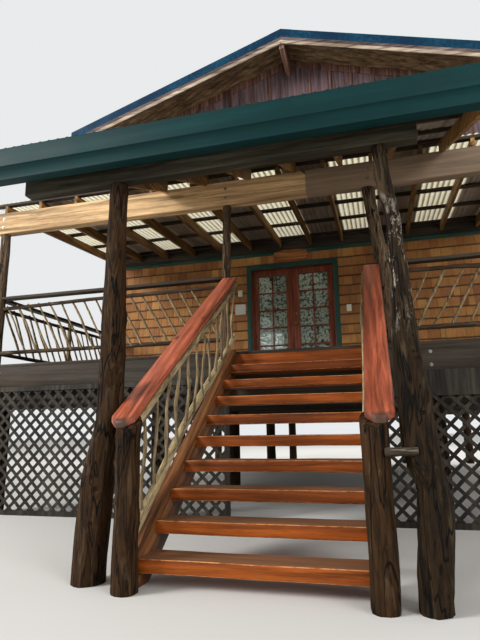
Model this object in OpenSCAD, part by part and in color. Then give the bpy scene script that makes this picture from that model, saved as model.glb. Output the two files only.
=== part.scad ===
// Stilt house with a covered deck and a wide open stair between log posts.
// Millimetres, +Z up, +Y into the house. Modules are drawn from the front edge of the deck
// on the centre line of the house, and at_centre() moves them to the middle of the footprint.

/* [House] */
// Width of the house over its side walls
house_w = 7600; // [6400:100:9600]
// Depth of the house from front wall to back wall
house_d = 6400; // [5200:100:9000]
// Thickness of the walls
wall_t = 120; // [100:5:180]
// Height of the deck and floor over the ground
floor_z = 1900; // [1850:50:1950]
// Height of the lower, shingled storey
storey_h = 2560; // [2500:10:2700]
// Height of the side walls over the floor, up to the roof
eaves_h = 5240; // [4800:20:6000]

/* [Main roof] */
// Pitch of the main roof in degrees
roof_pitch = 17.5; // [12:0.5:26]
// Overhang of the roof past the front and back walls
rake_out = 850; // [500:10:1000]
// Overhang of the roof past the side walls
eave_out = 600; // [300:10:900]
// Thickness of the roof boarding
roof_board_t = 30; // [20:1:40]
// Depth of the barge boards
barge_d = 290; // [200:5:320]
// Thickness of barge boards and eave boards
barge_t = 38; // [25:1:50]
// Width of the ridge beam
ridge_beam_w = 90; // [70:5:140]
// Depth of the ridge beam
ridge_beam_d = 340; // [240:10:400]

/* [Corrugated sheet] */
// Distance between the waves of the roof sheet
wave_pitch = 76; // [60:1:100]
// Depth of the waves
wave_d = 18; // [12:1:24]
// Thickness of the sheet as modelled
sheet_t = 3; // [2:0.5:5]

/* [Deck] */
// Depth of the deck from its front edge to the front wall
deck_d = 3376; // [2800:10:4000]
// Thickness of the deck and floor boards
board_t = 38; // [25:1:50]
// Depth of the floor joists
joist_d = 290; // [240:10:300]
// Thickness of joists and rim boards
joist_t = 44; // [38:1:60]
// Depth of the beams under the joists
beam_d = 272; // [200:2:300]
// Thickness of the beams under the joists
beam_t = 140; // [90:5:200]
// Diameter of the log stilts
stilt_dia = 220; // [160:10:300]

/* [Stair] */
// Clear width between the stringers
stair_w = 1516; // [1100:4:1700]
// Middle of the stair, right of the middle of the house
stair_x = 508; // [200:2:700]
// Number of steps from the ground to the deck
step_count = 10; // [10:1:10]
// Going of each step
run = 276; // [260:2:290]
// Thickness of a tread
tread_t = 89; // [60:1:100]
// Front to back depth of a tread
tread_d = 270; // [250:2:276]
// Thickness of a stringer
stringer_t = 89; // [70:1:100]
// Depth of a stringer, measured plumb
stringer_d = 350; // [300:5:420]
// Height of the stringer's edge over the nosings
stringer_lip = 30; // [10:1:60]
// Diameter of the newel logs
newel_dia = 172; // [140:2:200]
// Width of the handrail slab
handrail_w = 180; // [140:2:220]
// Thickness of the handrail slab, measured plumb
handrail_t = 54; // [40:2:110]
// Clipped corners at the handrail's foot
handrail_clip = 60; // [20:5:80]
// Height of the handrail over the deck at its upper end
handrail_h = 910; // [850:5:1000]
// Diameter of the branch rails
branch_dia = 56; // [40:2:80]
// Height of the lower branch rail over the stringer's lip
lower_branch_up = 150; // [60:5:200]
// Diameter of the branch balusters
baluster_dia = 32; // [24:1:44]
// Balusters on each side of the stair
baluster_count = 12; // [8:1:16]

/* [Deck roof and canopy] */
// Depth of the header beam over the deck's front edge
header_d = 310; // [240:5:340]
// Thickness of the header beam
header_t = 140; // [100:5:180]
// Height of the header's underside over the deck
header_h = 1887; // [1850:1:2000]
// Rise of the deck roof from the header to the wall
deck_roof_rise = 250; // [150:10:300]
// Depth of the rafters, measured plumb
rafter_d = 145; // [120:5:180]
// Thickness of the rafters
rafter_t = 45; // [38:1:60]
// Distance between the rafters
rafter_pitch = 573; // [450:1:650]
// Thickness of the purlins
purlin_t = 38; // [25:1:50]
// Width of the purlins
purlin_w = 90; // [70:5:120]
// Width of the canopy over the stair
canopy_w = 3800; // [3400:20:4400]
// Height of the eave beam's underside over the ground
eave_beam_z = 2800; // [2700:10:2900]
// Depth of the eave beam
eave_beam_d = 240; // [200:5:280]
// Thickness of the eave beam
eave_beam_t = 100; // [80:5:140]
// Middle of the eave beam in front of the deck's edge
eave_beam_y = 2600; // [2560:5:2640]
// Where the two lengths of the header beam meet, right of the middle of the house
header_joint = 650; // [300:10:900]
// Chamfer at the top corner of the header beam's left length
header_chamfer = 55; // [30:5:80]
// Height of the gutter
gutter_h = 240; // [150:5:260]
// Front to back size of the gutter
gutter_w = 118; // [90:2:150]
// Thickness of the gutter's sheet as modelled
gutter_t = 4; // [3:0.5:6]
// Width of each translucent strip in the deck roof
skylight_w = 608; // [456:76:760]
// Width of each metal strip between the translucent ones
metal_strip_w = 608; // [456:76:760]

/* [Log posts] */
// Middle of the straight log at its foot, out from the left ends of the treads
straight_log_out = 398; // [352:2:442]
// Diameter of the straight log at its foot
straight_log_dia = 236; // [200:4:260]
// Middle of the gnarled log at its foot, out from the right ends of the treads
gnarled_log_out = 312; // [312:2:400]
// Diameter of the gnarled log at its foot
gnarled_log_dia = 206; // [190:2:260]
// Middle of the thin deck post, left of the middle of the house
thin_post_out = 395; // [340:5:400]
// Diameter of the thin deck post
thin_post_dia = 112; // [80:2:130]
// Middle of the crooked deck post at its foot, right of the middle of the house
crooked_post_out = 1560; // [1500:10:1700]
// Diameter of the crooked deck post at its foot
crooked_post_dia = 180; // [140:4:200]
// Diameter of the posts at the deck's outer corners
corner_post_dia = 130; // [125:5:180]
// Middle of the corner posts, in from the deck's end
corner_post_in = 110; // [90:5:160]

/* [Deck railing] */
// Height of the railing over the deck
deck_rail_h = 950; // [900:10:1100]
// Width of the railing's plank
rail_plank_w = 120; // [100:5:125]
// Thickness of the railing's plank
rail_plank_t = 38; // [25:1:50]
// Sideways lean of each branch baluster from top to bottom
baluster_lean = 380; // [0:10:420]
// Distance between the branch balusters
baluster_pitch = 175; // [140:5:300]

/* [Door] */
// Width of each door leaf
leaf_w = 762; // [700:2:800]
// Height of the door leaves
leaf_h = 2032; // [1980:2:2080]
// Thickness of the door leaves
leaf_t = 45; // [38:1:50]
// Middle of the doorway, left of the middle of the house
door_x = 103; // [0:1:300]
// Gap round each door leaf
leaf_gap = 5; // [5:0.5:8]
// Thickness of the door frame
jamb_t = 35; // [25:1:45]
// Width of the stiles and top rail of a leaf
stile_w = 115; // [90:1:130]
// Height of the bottom rail of a leaf
bottom_rail_h = 247; // [200:1:300]
// Width of the glazing bars
bar_w = 25; // [18:1:32]
// Rows of panes in a leaf
pane_rows = 5; // [4:1:6]
// Thickness of the glass
glass_t = 5; // [4:0.5:6]

/* [Trim and windows] */
// Width of the green trim boards
trim_w = 88; // [70:1:120]
// Thickness of the green trim boards
trim_t = 22; // [16:1:30]
// Width of a window opening
window_w = 900; // [700:20:1200]
// Height of a window opening
window_h = 1100; // [800:20:1300]
// Height of a window sill over the floor
window_sill_h = 950; // [800:10:1100]
// Width of the plaque over the door
plaque_w = 660; // [400:20:800]
// Height of the plaque over the door
plaque_h = 234; // [120:2:236]
// Height of the knob over the foot of the door leaf
knob_h = 952; // [900:2:1050]
// Height of the lock plate over the foot of the door leaf
lock_h = 1150; // [1090:5:1250]

/* [Lattice] */
// Width of a lath
lath_w = 38; // [30:1:50]
// Thickness of a lath
lath_t = 8; // [6:1:12]
// Square distance between laths of one direction
lath_pitch = 110; // [95:1:160]

/* [Hidden] */

// Running gap between pieces that seat on each other
seat = 0.3;

// Room left round a log where rails are scribed to it
scribe = 1.5;

// Colours
stain = "#7a4630";
dark_log = "#4b3a2c";
branch_wood = "#8d7a5e";
dark_beam = "#3d342c";
lit_timber = "#9b6a41";
shingle = "#96602f";
door_wood = "#7c4630";
trim_green = "#1f4d47";
roof_green = "#2f6f73";
cream = "#cfc09a";
gable_brown = "#5d3f3b";

// Stair
rise = floor_z / step_count;
stair_slope = rise / run;
tread_count = step_count - 1;
stair_foot_y = -tread_count * run;
newel_r = newel_dia / 2;
newel_y = stair_foot_y - newel_r;
stair_side = stair_w / 2 + stringer_t / 2;
handrail_side = stair_w / 2 + handrail_w / 2 - 8;
handrail_foot_y = newel_y - 66;
handrail_head_y = 18;
handrail_foot_h = 1075;
handrail_top = floor_z + handrail_h;
handrail_slope = (handrail_top - handrail_foot_h) / -handrail_foot_y;

// Deck and floor
joist_top = floor_z - board_t;
joist_bottom = joist_top - joist_d;
beam_bottom = joist_bottom - beam_d;
half_w = house_w / 2;
wall_y = deck_d;
back_y = deck_d + house_d;
joist_pitch = 600;
corner_stilt_in = 250;
end_beam_in = 120;

// Main roof
roof_slope = tan(roof_pitch);
eaves_z = floor_z + eaves_h;
ridge_under_z = eaves_z + half_w * roof_slope;
boards_under_z = ridge_under_z + seat;
board_plumb = roof_board_t / cos(roof_pitch);
roof_half = half_w + eave_out;
roof_front = wall_y - rake_out;
roof_back = back_y + rake_out;
upper_z = floor_z + storey_h;

// Deck roof
header_y = 20;
header_bottom = floor_z + header_h;
header_top = header_bottom + header_d;
ledger_t = 38;
ledger_d = 190;
rafter_foot_y = header_y + header_t / 2;
rafter_head_y = wall_y - ledger_t;
deck_roof_slope = deck_roof_rise / (rafter_head_y - rafter_foot_y);
ledger_bottom = header_top + deck_roof_rise - 55;

// Canopy
birdsmouth = 20;
beam_front = -eave_beam_y - eave_beam_t / 2;
beam_back = -eave_beam_y + eave_beam_t / 2;
eave_beam_top = eave_beam_z + eave_beam_d;
canopy_slope = (header_top - birdsmouth - eave_beam_top) / (header_y - beam_back);
canopy_tail = 100;
canopy_front = beam_front - canopy_tail;
canopy_left = stair_x - canopy_w / 2;
canopy_right = stair_x + canopy_w / 2;
gutter_back = canopy_front;
gutter_front = gutter_back - gutter_w;
eave_beam_left = -1200;
eave_beam_right = 1700;

// Door
leaf_bottom = floor_z + 20;
leaf_top = leaf_bottom + leaf_h;
opening_w = 2 * leaf_w + 3 * leaf_gap;
opening_top = leaf_top + leaf_gap;
rough_w = opening_w + 2 * jamb_t;
rough_top = opening_top + jamb_t;
leaf_back = wall_y + wall_t;
leaf_front = leaf_back - leaf_t;
glass_h = leaf_h - stile_w - bottom_rail_h;
glass_w = leaf_w - 2 * stile_w;
hinge_r = 6;
hinge_len = 50;
hinge_y = leaf_back + hinge_r + 1;
hinge_heights = [220, 1000, 1760];

// Windows
window_bottom = floor_z + window_sill_h;
window_ys = [wall_y + house_d * 0.28, wall_y + house_d * 0.72];
window_xs = [-house_w * 0.24, house_w * 0.24];

// Footprint
mid_y = (gutter_front + roof_back) / 2;

module at_centre() {
    translate([0, -mid_y, 0]) children();
}

// Box between two corners
module block(low, high) {
    translate(low) cube(high - low);
}

// Outline in Y and Z, extruded along X from x0 to x1
module along_x(x0, x1) {
    translate([x0, 0, 0]) rotate([90, 0, 90]) linear_extrude(x1 - x0) children();
}

// Outline in X and Z, extruded along Y from y0 to y1
module along_y(y0, y1) {
    translate([0, y1, 0]) rotate([90, 0, 0]) linear_extrude(y1 - y0) children();
}

// Bent round stick through points, with a radius at each point
function unit(v) = v / norm(v);
function direction(p, i) = unit(p[min(i + 1, len(p) - 1)] - p[max(i - 1, 0)]);
function reference(p) = abs(unit(p[len(p) - 1] - p[0]).z) > 0.7 ? [1, 0, 0] : [0, 0, 1];
function across(t, ref) = unit(cross(t, ref));
function ring(p, r, i, sides) =
    let (t = direction(p, i), a = across(t, reference(p)), b = cross(t, a))
    [for (k = [0 : sides - 1]) p[i] + r[i] * (cos(360 * k / sides) * a + sin(360 * k / sides) * b)];

module stick(points, radii, sides) {
    rings = [for (i = [0 : len(points) - 1]) each ring(points, radii, i, sides)];
    last = (len(points) - 1) * sides;
    walls = [for (i = [0 : len(points) - 2], k = [0 : sides - 1])
        [i * sides + k, (i + 1) * sides + k,
         (i + 1) * sides + (k + 1) % sides, i * sides + (k + 1) % sides]];
    foot = [[for (k = [0 : sides - 1]) k]];
    head = [[for (k = [sides - 1 : -1 : 0]) last + k]];
    polyhedron(rings, concat(walls, foot, head), convexity = 4);
}

// Wavy outline of corrugated sheet, count waves wide, in X and Z
function wave_x(i, count) = -count * wave_pitch / 2 + i * wave_pitch;
function wave_line(count, z) = [for (i = [0 : count - 1])
    each [[wave_x(i, count), z], [wave_x(i, count) + wave_pitch * 0.2, z],
          [wave_x(i, count) + wave_pitch * 0.5, z + wave_d - sheet_t],
          [wave_x(i, count) + wave_pitch * 0.7, z + wave_d - sheet_t]]];
function reversed(list) = [for (i = [len(list) - 1 : -1 : 0]) list[i]];
module wave_outline(count) {
    end_low = [[wave_x(count, count), 0]];
    end_high = [[wave_x(count, count), sheet_t]];
    polygon(concat(wave_line(count, 0), end_low, end_high, reversed(wave_line(count, sheet_t))));
}

// Corrugated strip that slopes up along +Y from y0 to y1, with its underside at z0 at y0
module sloping_sheet(x, count, y0, y1, z0, slope) {
    angle = atan(slope);
    translate([x, y0, z0 + seat]) rotate([angle, 0, 0])
        along_y(0, (y1 - y0) / cos(angle)) wave_outline(count);
}

module stair_treads() {
    color(stain) at_centre()
        for (k = [1 : tread_count])
            translate([stair_x - stair_w / 2, -run * (step_count - k), rise * k - tread_t])
                cube([stair_w, tread_d, tread_t]);
}

module stringer_outline() {
    top = floor_z + stringer_lip;
    polygon([
        [stair_foot_y, 0], [stair_foot_y, top + stair_foot_y * stair_slope], [0, top],
        [0, top - stringer_d], [(stringer_d - top) / stair_slope, 0]
    ]);
}

module stair_stringers() {
    color(stain) at_centre()
        for (side = [-1, 1])
            along_x(stair_x + side * stair_side - stringer_t / 2,
                    stair_x + side * stair_side + stringer_t / 2) stringer_outline();
}

function handrail_under(y) = handrail_top + y * handrail_slope - handrail_t;

module newel_posts() {
    reach = newel_dia + 28;
    color(dark_log) at_centre()
        for (side = [-1, 1])
            difference() {
                translate([stair_x + side * stair_side, newel_y, 0])
                    cylinder(h = floor_z, r = newel_r, $fn = 48);
                along_x(-half_w, half_w) polygon([
                    [newel_y - reach, handrail_under(newel_y - reach)],
                    [newel_y + reach, handrail_under(newel_y + reach)],
                    [newel_y + reach, floor_z + 1], [newel_y - reach, floor_z + 1]
                ]);
            }
}

// Slab in plan, with the corners of its foot clipped
module handrail_plan(clip) {
    half = handrail_w / 2;
    polygon([
        [-half, handrail_foot_y + clip], [clip - half, handrail_foot_y], [half - clip, handrail_foot_y],
        [half, handrail_foot_y + clip], [half, handrail_head_y], [-half, handrail_head_y]
    ]);
}

module handrails() {
    half = handrail_w / 2;
    color(stain) at_centre()
        for (side = [-1, 1])
            translate([stair_x + side * handrail_side, 0, 0]) intersection() {
                along_x(-half, half) polygon([
                    [handrail_foot_y, handrail_under(handrail_foot_y)],
                    [handrail_head_y, handrail_under(handrail_head_y)],
                    [handrail_head_y, handrail_under(handrail_head_y) + handrail_t],
                    [handrail_foot_y, handrail_foot_h]
                ]);
                linear_extrude(handrail_top + handrail_t) handrail_plan(handrail_clip);
            }
}

// Centre lines of the branch rails beside the stair, at a given distance in front of the deck
function lower_rail_z(y) = floor_z + stringer_lip + y * stair_slope + lower_branch_up;
function upper_rail_z(y) = handrail_under(y) - branch_dia * 0.9;
function wobble(i, size) = size * sin(137 * i);
upper_rail_side = handrail_side - handrail_w / 2 + branch_dia / 2;
lower_rail_side = stair_side - 20;
branch_head_y = -seat;
branch_foot_y = newel_y + newel_r - 30;

module stair_branch_rail(side) {
    lower = [for (i = [0 : 6]) let (y = branch_foot_y + (branch_head_y - branch_foot_y) * i / 6)
        [side * lower_rail_side, y, lower_rail_z(y) + wobble(i, 9)]];
    upper = [for (i = [0 : 6]) let (y = branch_foot_y + (branch_head_y - branch_foot_y) * i / 6)
        [side * upper_rail_side, y, upper_rail_z(y) + wobble(i + 2, 9)]];
    baluster_run = (branch_head_y - branch_foot_y) / baluster_count;
    translate([stair_x, 0, 0]) difference() {
        union() {
            stick(lower, [for (i = [0 : 6]) branch_dia / 2 - wobble(i, 3)], 10);
            stick(upper, [for (i = [0 : 6]) branch_dia / 2 + wobble(i, 3)], 10);
            for (k = [0 : baluster_count - 1])
                let (y = branch_foot_y + baluster_run * (k + 0.5), r = baluster_dia / 2)
                    stick([
                        [side * lower_rail_side, y - wobble(k, 12), lower_rail_z(y)],
                        [side * (lower_rail_side + wobble(k, 10)) , y + wobble(k + 3, 16),
                         (lower_rail_z(y) + upper_rail_z(y)) / 2],
                        [side * upper_rail_side, y + wobble(k, 14), upper_rail_z(y)]
                    ], [r, r * 0.85, r * 0.9], 8);
        }
        translate([side * stair_side, newel_y, 0]) cylinder(h = floor_z, r = newel_r + seat, $fn = 48);
    }
}

module stair_branch_rails() {
    color(branch_wood) at_centre()
        for (side = [-1, 1]) stair_branch_rail(side);
}

// Upright log with level rings, so that its foot and head are flat
module log_post(points, radii, sides, knots) {
    count = len(points);
    rings = [for (i = [0 : count - 1], k = [0 : sides - 1])
        let (a = 360 * k / sides, r = radii[i] * (1 + knots * (sin(2 * a + 70 * i) + sin(3 * a - 110 * i))))
        points[i] + [r * cos(a), r * sin(a), 0]];
    last = (count - 1) * sides;
    walls = [for (i = [0 : count - 2], k = [0 : sides - 1])
        [i * sides + k, (i + 1) * sides + k, (i + 1) * sides + (k + 1) % sides, i * sides + (k + 1) % sides]];
    foot = [[for (k = [0 : sides - 1]) k]];
    head = [[for (k = [sides - 1 : -1 : 0]) last + k]];
    polyhedron(rings, concat(walls, foot, head), convexity = 6);
}

// Crooked log: each row has its sway along X and Y in girths, its share of the height, its share of the girth
module crooked_log(foot, dia, height, rows, grow, knots) {
    log_post([for (row = rows) foot + [dia * row[0], dia * row[1], height * row[2]]],
             [for (row = rows) dia / 2 * row[3] + grow], 16, knots);
}

module straight_front_log() {
    rows = [
        [0, 0.8, 0, 1], [0.08, 0.8, 0.125, 1], [0.19, 0.8, 0.25, 1], [0.36, 0.8, 0.335, 0.92],
        [0.5, 0.8, 0.39, 0.82], [0.53, 0.79, 0.46, 0.8], [0.64, 0.6, 0.55, 0.79], [0.74, 0.42, 0.66, 0.75],
        [0.84, 0.24, 0.785, 0.68], [0.92, 0.1, 0.89, 0.62], [1, 0, 1, 0.58]
    ];
    foot = [stair_x - stair_w / 2 - straight_log_out, -eave_beam_y, 0];
    crooked_log(foot, straight_log_dia, eave_beam_z, rows, 0, 0.03);
}

module gnarled_front_log() {
    rows = [
        [0, 0.39, 0, 1], [0.06, 0.37, 0.067, 1.02], [0.13, 0.34, 0.149, 0.98], [0.18, 0.3, 0.234, 0.94],
        [0.08, 0.28, 0.277, 1], [-0.04, 0.27, 0.321, 0.94], [-0.13, 0.24, 0.383, 0.88],
        [-0.18, 0.2, 0.467, 0.87], [-0.22, 0.17, 0.565, 0.78], [-0.23, 0.14, 0.633, 0.7],
        [-0.26, 0.12, 0.703, 0.6], [-0.3, 0.1, 0.739, 0.54], [-0.32, 0.07, 0.811, 0.45],
        [-0.5, 0.04, 0.896, 0.5], [-0.6, 0, 1, 0.53]
    ];
    foot = [stair_x + stair_w / 2 + gnarled_log_out, -eave_beam_y, 0];
    crooked_log(foot, gnarled_log_dia, eave_beam_z, rows, 0, 0.05);
}

module front_logs() {
    color(dark_log) at_centre() {
        straight_front_log();
        gnarled_front_log();
    }
}

// The deck's log posts, grown by the given clearance for the cuts round them
module thin_deck_post(grow) {
    rows = [
        [0, 0, 0, 0.82], [-0.04, 0, 0.24, 0.86], [0.06, 0, 0.5, 0.92],
        [0.14, 0, 0.77, 1.02], [0.2, 0, 1, 1.04]
    ];
    foot = [-thin_post_out, rafter_foot_y, floor_z - grow];
    crooked_log(foot, thin_post_dia, header_h + grow, rows, grow, 0.03);
}

module crooked_deck_post(grow) {
    rows = [
        [0, 0, 0, 1], [-0.17, 0.02, 0.185, 0.93], [-0.34, 0.03, 0.37, 0.91], [-0.5, 0, 0.556, 0.96],
        [-0.72, -0.02, 0.742, 0.89], [-0.93, 0, 0.9, 0.84], [-0.99, 0, 1, 0.89]
    ];
    foot = [crooked_post_out, rafter_foot_y, floor_z - grow];
    crooked_log(foot, crooked_post_dia, header_h + grow, rows, grow, 0.05);
}

corner_post_x = half_w - corner_post_in;

module deck_posts() {
    color(branch_wood) at_centre() {
        thin_deck_post(0);
        crooked_deck_post(0);
        for (side = [-1, 1])
            translate([side * corner_post_x, rafter_foot_y, floor_z])
                cylinder(h = header_h, d = corner_post_dia, $fn = 32);
    }
}

module header_beam() {
    left_end = header_joint - seat;
    color(lit_timber) at_centre() along_y(header_y, header_y + header_t) {
        polygon([
            [-half_w, header_bottom], [left_end, header_bottom], [left_end, header_top - header_chamfer],
            [left_end - header_chamfer, header_top], [-half_w, header_top]
        ]);
        translate([header_joint, header_bottom]) square([half_w - header_joint, header_d]);
    }
}

module eave_beam() {
    color(dark_beam) at_centre()
        block([eave_beam_left, beam_front, eave_beam_z], [eave_beam_right, beam_back, eave_beam_top]);
}

function canopy_under(y) = eave_beam_top + canopy_slope * (y - beam_back);
function deck_roof_under(y) = header_top + deck_roof_slope * (y - rafter_foot_y);

module canopy_rafters() {
    meet_y = rafter_foot_y - 1;
    count = floor((canopy_w - rafter_t) / rafter_pitch);
    first = stair_x - count * rafter_pitch / 2;
    for (k = [0 : count])
        along_x(first + k * rafter_pitch - rafter_t / 2, first + k * rafter_pitch + rafter_t / 2)
            polygon([
                [canopy_front, canopy_under(canopy_front)], [beam_front, canopy_under(beam_front)],
                [beam_front, eave_beam_top], [beam_back, eave_beam_top],
                [header_y, header_top - birdsmouth], [header_y, header_top], [meet_y, header_top],
                [meet_y, canopy_under(meet_y) + rafter_d],
                [canopy_front, canopy_under(canopy_front) + rafter_d]
            ]);
}

// Purlin that lies on rafters whose tops are at z0 and z1 under its two edges
module purlin_outline(y, z0, z1) {
    polygon([
        [y, z0 + seat], [y + purlin_w, z1 + seat],
        [y + purlin_w, z1 + seat + purlin_t], [y, z0 + seat + purlin_t]
    ]);
}

canopy_purlin_count = 5;

module canopy_purlins() {
    last_y = rafter_foot_y - 4 - purlin_w;
    for (k = [0 : canopy_purlin_count - 1])
        let (y = canopy_front + (last_y - canopy_front) * k / (canopy_purlin_count - 1))
            along_x(canopy_left, canopy_right)
                purlin_outline(y, canopy_under(y) + rafter_d, canopy_under(y + purlin_w) + rafter_d);
}

module canopy_sheet() {
    count = floor(canopy_w / wave_pitch);
    y0 = canopy_front - gutter_w / 2;
    color(roof_green) at_centre()
        sloping_sheet(stair_x, count, y0, rafter_foot_y - 20,
                      canopy_under(y0) + rafter_d + seat + purlin_t, canopy_slope);
}

module eave_gutter() {
    top = canopy_under(canopy_front - gutter_w) + rafter_d + purlin_t - 2;
    low = top - gutter_h;
    step = 28;
    bead = low + gutter_h * 0.34;
    t = gutter_t;
    color(trim_green) at_centre() along_x(canopy_left, canopy_right) polygon([
        [gutter_back, top], [gutter_back, low], [gutter_front + step, low],
        [gutter_front + step, bead], [gutter_front, bead + step / 2], [gutter_front, top],
        [gutter_front + t, top], [gutter_front + t, bead + step / 2 + t / 2],
        [gutter_front + step + t, bead + t / 2], [gutter_front + step + t, low + t],
        [gutter_back - t, low + t], [gutter_back - t, top]
    ]);
}

rafter_count = floor((house_w - 2 * rafter_t) / rafter_pitch);
first_rafter = -rafter_count * rafter_pitch / 2;

module deck_rafters() {
    header_back = header_y + header_t;
    for (k = [0 : rafter_count])
        along_x(first_rafter + k * rafter_pitch - rafter_t / 2,
                first_rafter + k * rafter_pitch + rafter_t / 2)
            polygon([
                [rafter_foot_y, header_top], [header_back, header_top],
                [header_back, deck_roof_under(header_back)],
                [rafter_head_y, deck_roof_under(rafter_head_y)],
                [rafter_head_y, deck_roof_under(rafter_head_y) + rafter_d],
                [rafter_foot_y, header_top + rafter_d]
            ]);
}

deck_purlin_count = 5;
strip_pair = skylight_w + metal_strip_w;
strip_count = ceil((half_w - skylight_w / 2) / strip_pair);
deck_roof_half = strip_count * strip_pair + skylight_w / 2;

module deck_purlins() {
    first_y = rafter_foot_y + 4;
    last_y = rafter_head_y - purlin_w;
    for (k = [0 : deck_purlin_count - 1])
        let (y = first_y + (last_y - first_y) * k / (deck_purlin_count - 1))
            along_x(-deck_roof_half, deck_roof_half)
                purlin_outline(y, deck_roof_under(y) + rafter_d, deck_roof_under(y + purlin_w) + rafter_d);
}

module roof_rafters() {
    color(dark_beam) at_centre() {
        canopy_rafters();
        deck_rafters();
    }
}

module roof_purlins() {
    color(dark_beam) at_centre() {
        canopy_purlins();
        deck_purlins();
    }
}

module deck_strip(x, w) {
    y0 = rafter_foot_y + 4;
    sloping_sheet(x, round(w / wave_pitch), y0, rafter_head_y,
                  deck_roof_under(y0) + rafter_d + seat + purlin_t, deck_roof_slope);
}

module deck_roof_sheets() {
    color(roof_green) at_centre()
        for (k = [-strip_count : strip_count - 1]) deck_strip((k + 0.5) * strip_pair, metal_strip_w);
}

module skylight_sheets() {
    color([0.9, 0.93, 0.85, 0.7]) at_centre()
        for (k = [-strip_count : strip_count]) deck_strip(k * strip_pair, skylight_w);
}

module wall_ledger() {
    color(dark_beam) at_centre()
        block([-half_w, rafter_head_y, ledger_bottom], [half_w, wall_y, ledger_bottom + ledger_d]);
}

module deck_boards() {
    color("#5b4a3d") at_centre()
        block([-half_w, 0, joist_top], [half_w, wall_y, floor_z]);
}

module house_floor() {
    color("#8a6a45") at_centre()
        block([-half_w, wall_y, joist_top], [half_w, back_y, floor_z]);
}

module floor_joists() {
    count = floor((house_w - 3 * joist_t) / joist_pitch);
    color("#6a563f") at_centre()
        for (k = [0 : count])
            translate([(k - count / 2) * joist_pitch - joist_t / 2, joist_t, joist_bottom])
                cube([joist_t, back_y - 2 * joist_t, joist_d]);
}

module rim_boards() {
    color(dark_beam) at_centre() {
        for (y = [0, back_y - joist_t])
            block([-half_w, y, joist_bottom], [half_w, y + joist_t, joist_top]);
        for (x = [-half_w, half_w - joist_t])
            block([x, joist_t + seat, joist_bottom], [x + joist_t, back_y - joist_t - seat, joist_top]);
    }
}

beam_rows = [end_beam_in, wall_y, wall_y + house_d / 2, back_y - end_beam_in];

module floor_beams() {
    color(dark_beam) at_centre()
        for (y = beam_rows)
            block([-half_w, y - beam_t / 2, beam_bottom], [half_w, y + beam_t / 2, joist_bottom]);
}

stilt_xs = [-half_w + corner_stilt_in, -half_w * 0.33, half_w * 0.5, half_w - corner_stilt_in];

module stilts() {
    color(dark_log) at_centre()
        for (y = beam_rows, x = stilt_xs)
            translate([x, y, 0]) cylinder(h = beam_bottom, r = stilt_dia / 2, $fn = 40);
}

// Railing of the deck along X: plank on a branch post, two wavy branches and slanted balusters
rail_post_pitch = 1700;
rail_plank_z = floor_z + deck_rail_h - rail_plank_t;
low_branch_z = floor_z + 170;
high_branch_z = rail_plank_z - 90;

module wavy_branch(length, z, first_wave, wave) {
    bends = 8;
    end_in = 2;
    step = (length - 2 * end_in) / bends;
    stick([for (i = [0 : bends]) [end_in + step * i, 0, z + wobble(i + first_wave, wave)]],
          [for (i = [0 : bends]) branch_dia / 2 + wobble(i, 3)], 8);
}

module deck_railing(length) {
    shift = baluster_lean / 2;
    first = shift + baluster_dia;
    count = round((length - 2 * first) / baluster_pitch);
    step = (length - 2 * first) / count;
    posts = max(1, round(length / rail_post_pitch) - 1);
    span = length / posts;
    thin = baluster_dia * 0.45;
    block([0, -rail_plank_w / 2, rail_plank_z], [length, rail_plank_w / 2, rail_plank_z + rail_plank_t]);
    wavy_branch(length, high_branch_z, 0, 16);
    wavy_branch(length, low_branch_z, 4, 14);
    for (k = [0 : count])
        let (x = first + step * k)
            stick([[x - shift, 0, high_branch_z], [x, wobble(k, 14), (low_branch_z + high_branch_z) / 2],
                   [x + shift, 0, low_branch_z]], [thin, baluster_dia / 2, thin], 8);
    for (k = [0 : posts - 1])
        translate([span * (k + 0.5), 0, 0])
            log_post([[0, 0, floor_z], [6, 0, floor_z + 450], [0, 0, rail_plank_z + 1]],
                     [42, 40, 38], 10, 0.03);
}

corner_rail_x = corner_post_x - corner_post_dia / 2 - seat;

module deck_rail_left() {
    difference() {
        translate([-corner_rail_x, rafter_foot_y, 0]) deck_railing(corner_rail_x - thin_post_out);
        thin_deck_post(scribe);
    }
}

module deck_rail_right() {
    start = crooked_post_out - crooked_post_dia * 0.45;
    difference() {
        translate([corner_rail_x, rafter_foot_y, 0]) mirror([1, 0, 0])
            deck_railing(corner_rail_x - start);
        crooked_deck_post(scribe);
    }
}

module deck_end_rails() {
    start = rafter_foot_y + corner_post_dia / 2 + seat;
    for (side = [-1, 1])
        translate([side * corner_post_x, start, 0]) rotate([0, 0, 90]) deck_railing(wall_y - seat - start);
}

module deck_railings() {
    color(branch_wood) at_centre() {
        deck_rail_left();
        deck_rail_right();
        deck_end_rails();
    }
}

module laths(length, height, angle) {
    reach = length + height;
    count = ceil(reach / (lath_pitch * sqrt(2)));
    intersection() {
        square([length, height]);
        for (k = [-count : count])
            translate([length / 2 + k * lath_pitch * sqrt(2), height / 2]) rotate(angle)
                square([lath_w, reach * 1.5], center = true);
    }
}

// Lattice panel along X in front of the stilts, with a board of the given depth at its top
module lattice_panel(length, top_board) {
    frame_w = 60;
    frame_t = 30;
    height = joist_bottom + 18;
    along_y(-2 * lath_t, -lath_t + 0.5) laths(length, height - 10, 45);
    along_y(-lath_t, 0) laths(length, height - 10, -45);
    block([0, -frame_t, 0], [length, 0, frame_w]);
    block([0, -frame_t, height - top_board], [length, 0, height]);
    block([0, -frame_t, 0], [frame_w, 0, height]);
    block([length - frame_w, -frame_t, 0], [length, 0, height]);
}

stair_out = stair_w / 2 + stringer_t + 1;

module lattice_left() {
    color("#5a4a3c") at_centre()
        translate([-half_w, 0, 0]) lattice_panel(half_w + stair_x - stair_out, 60);
}

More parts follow.
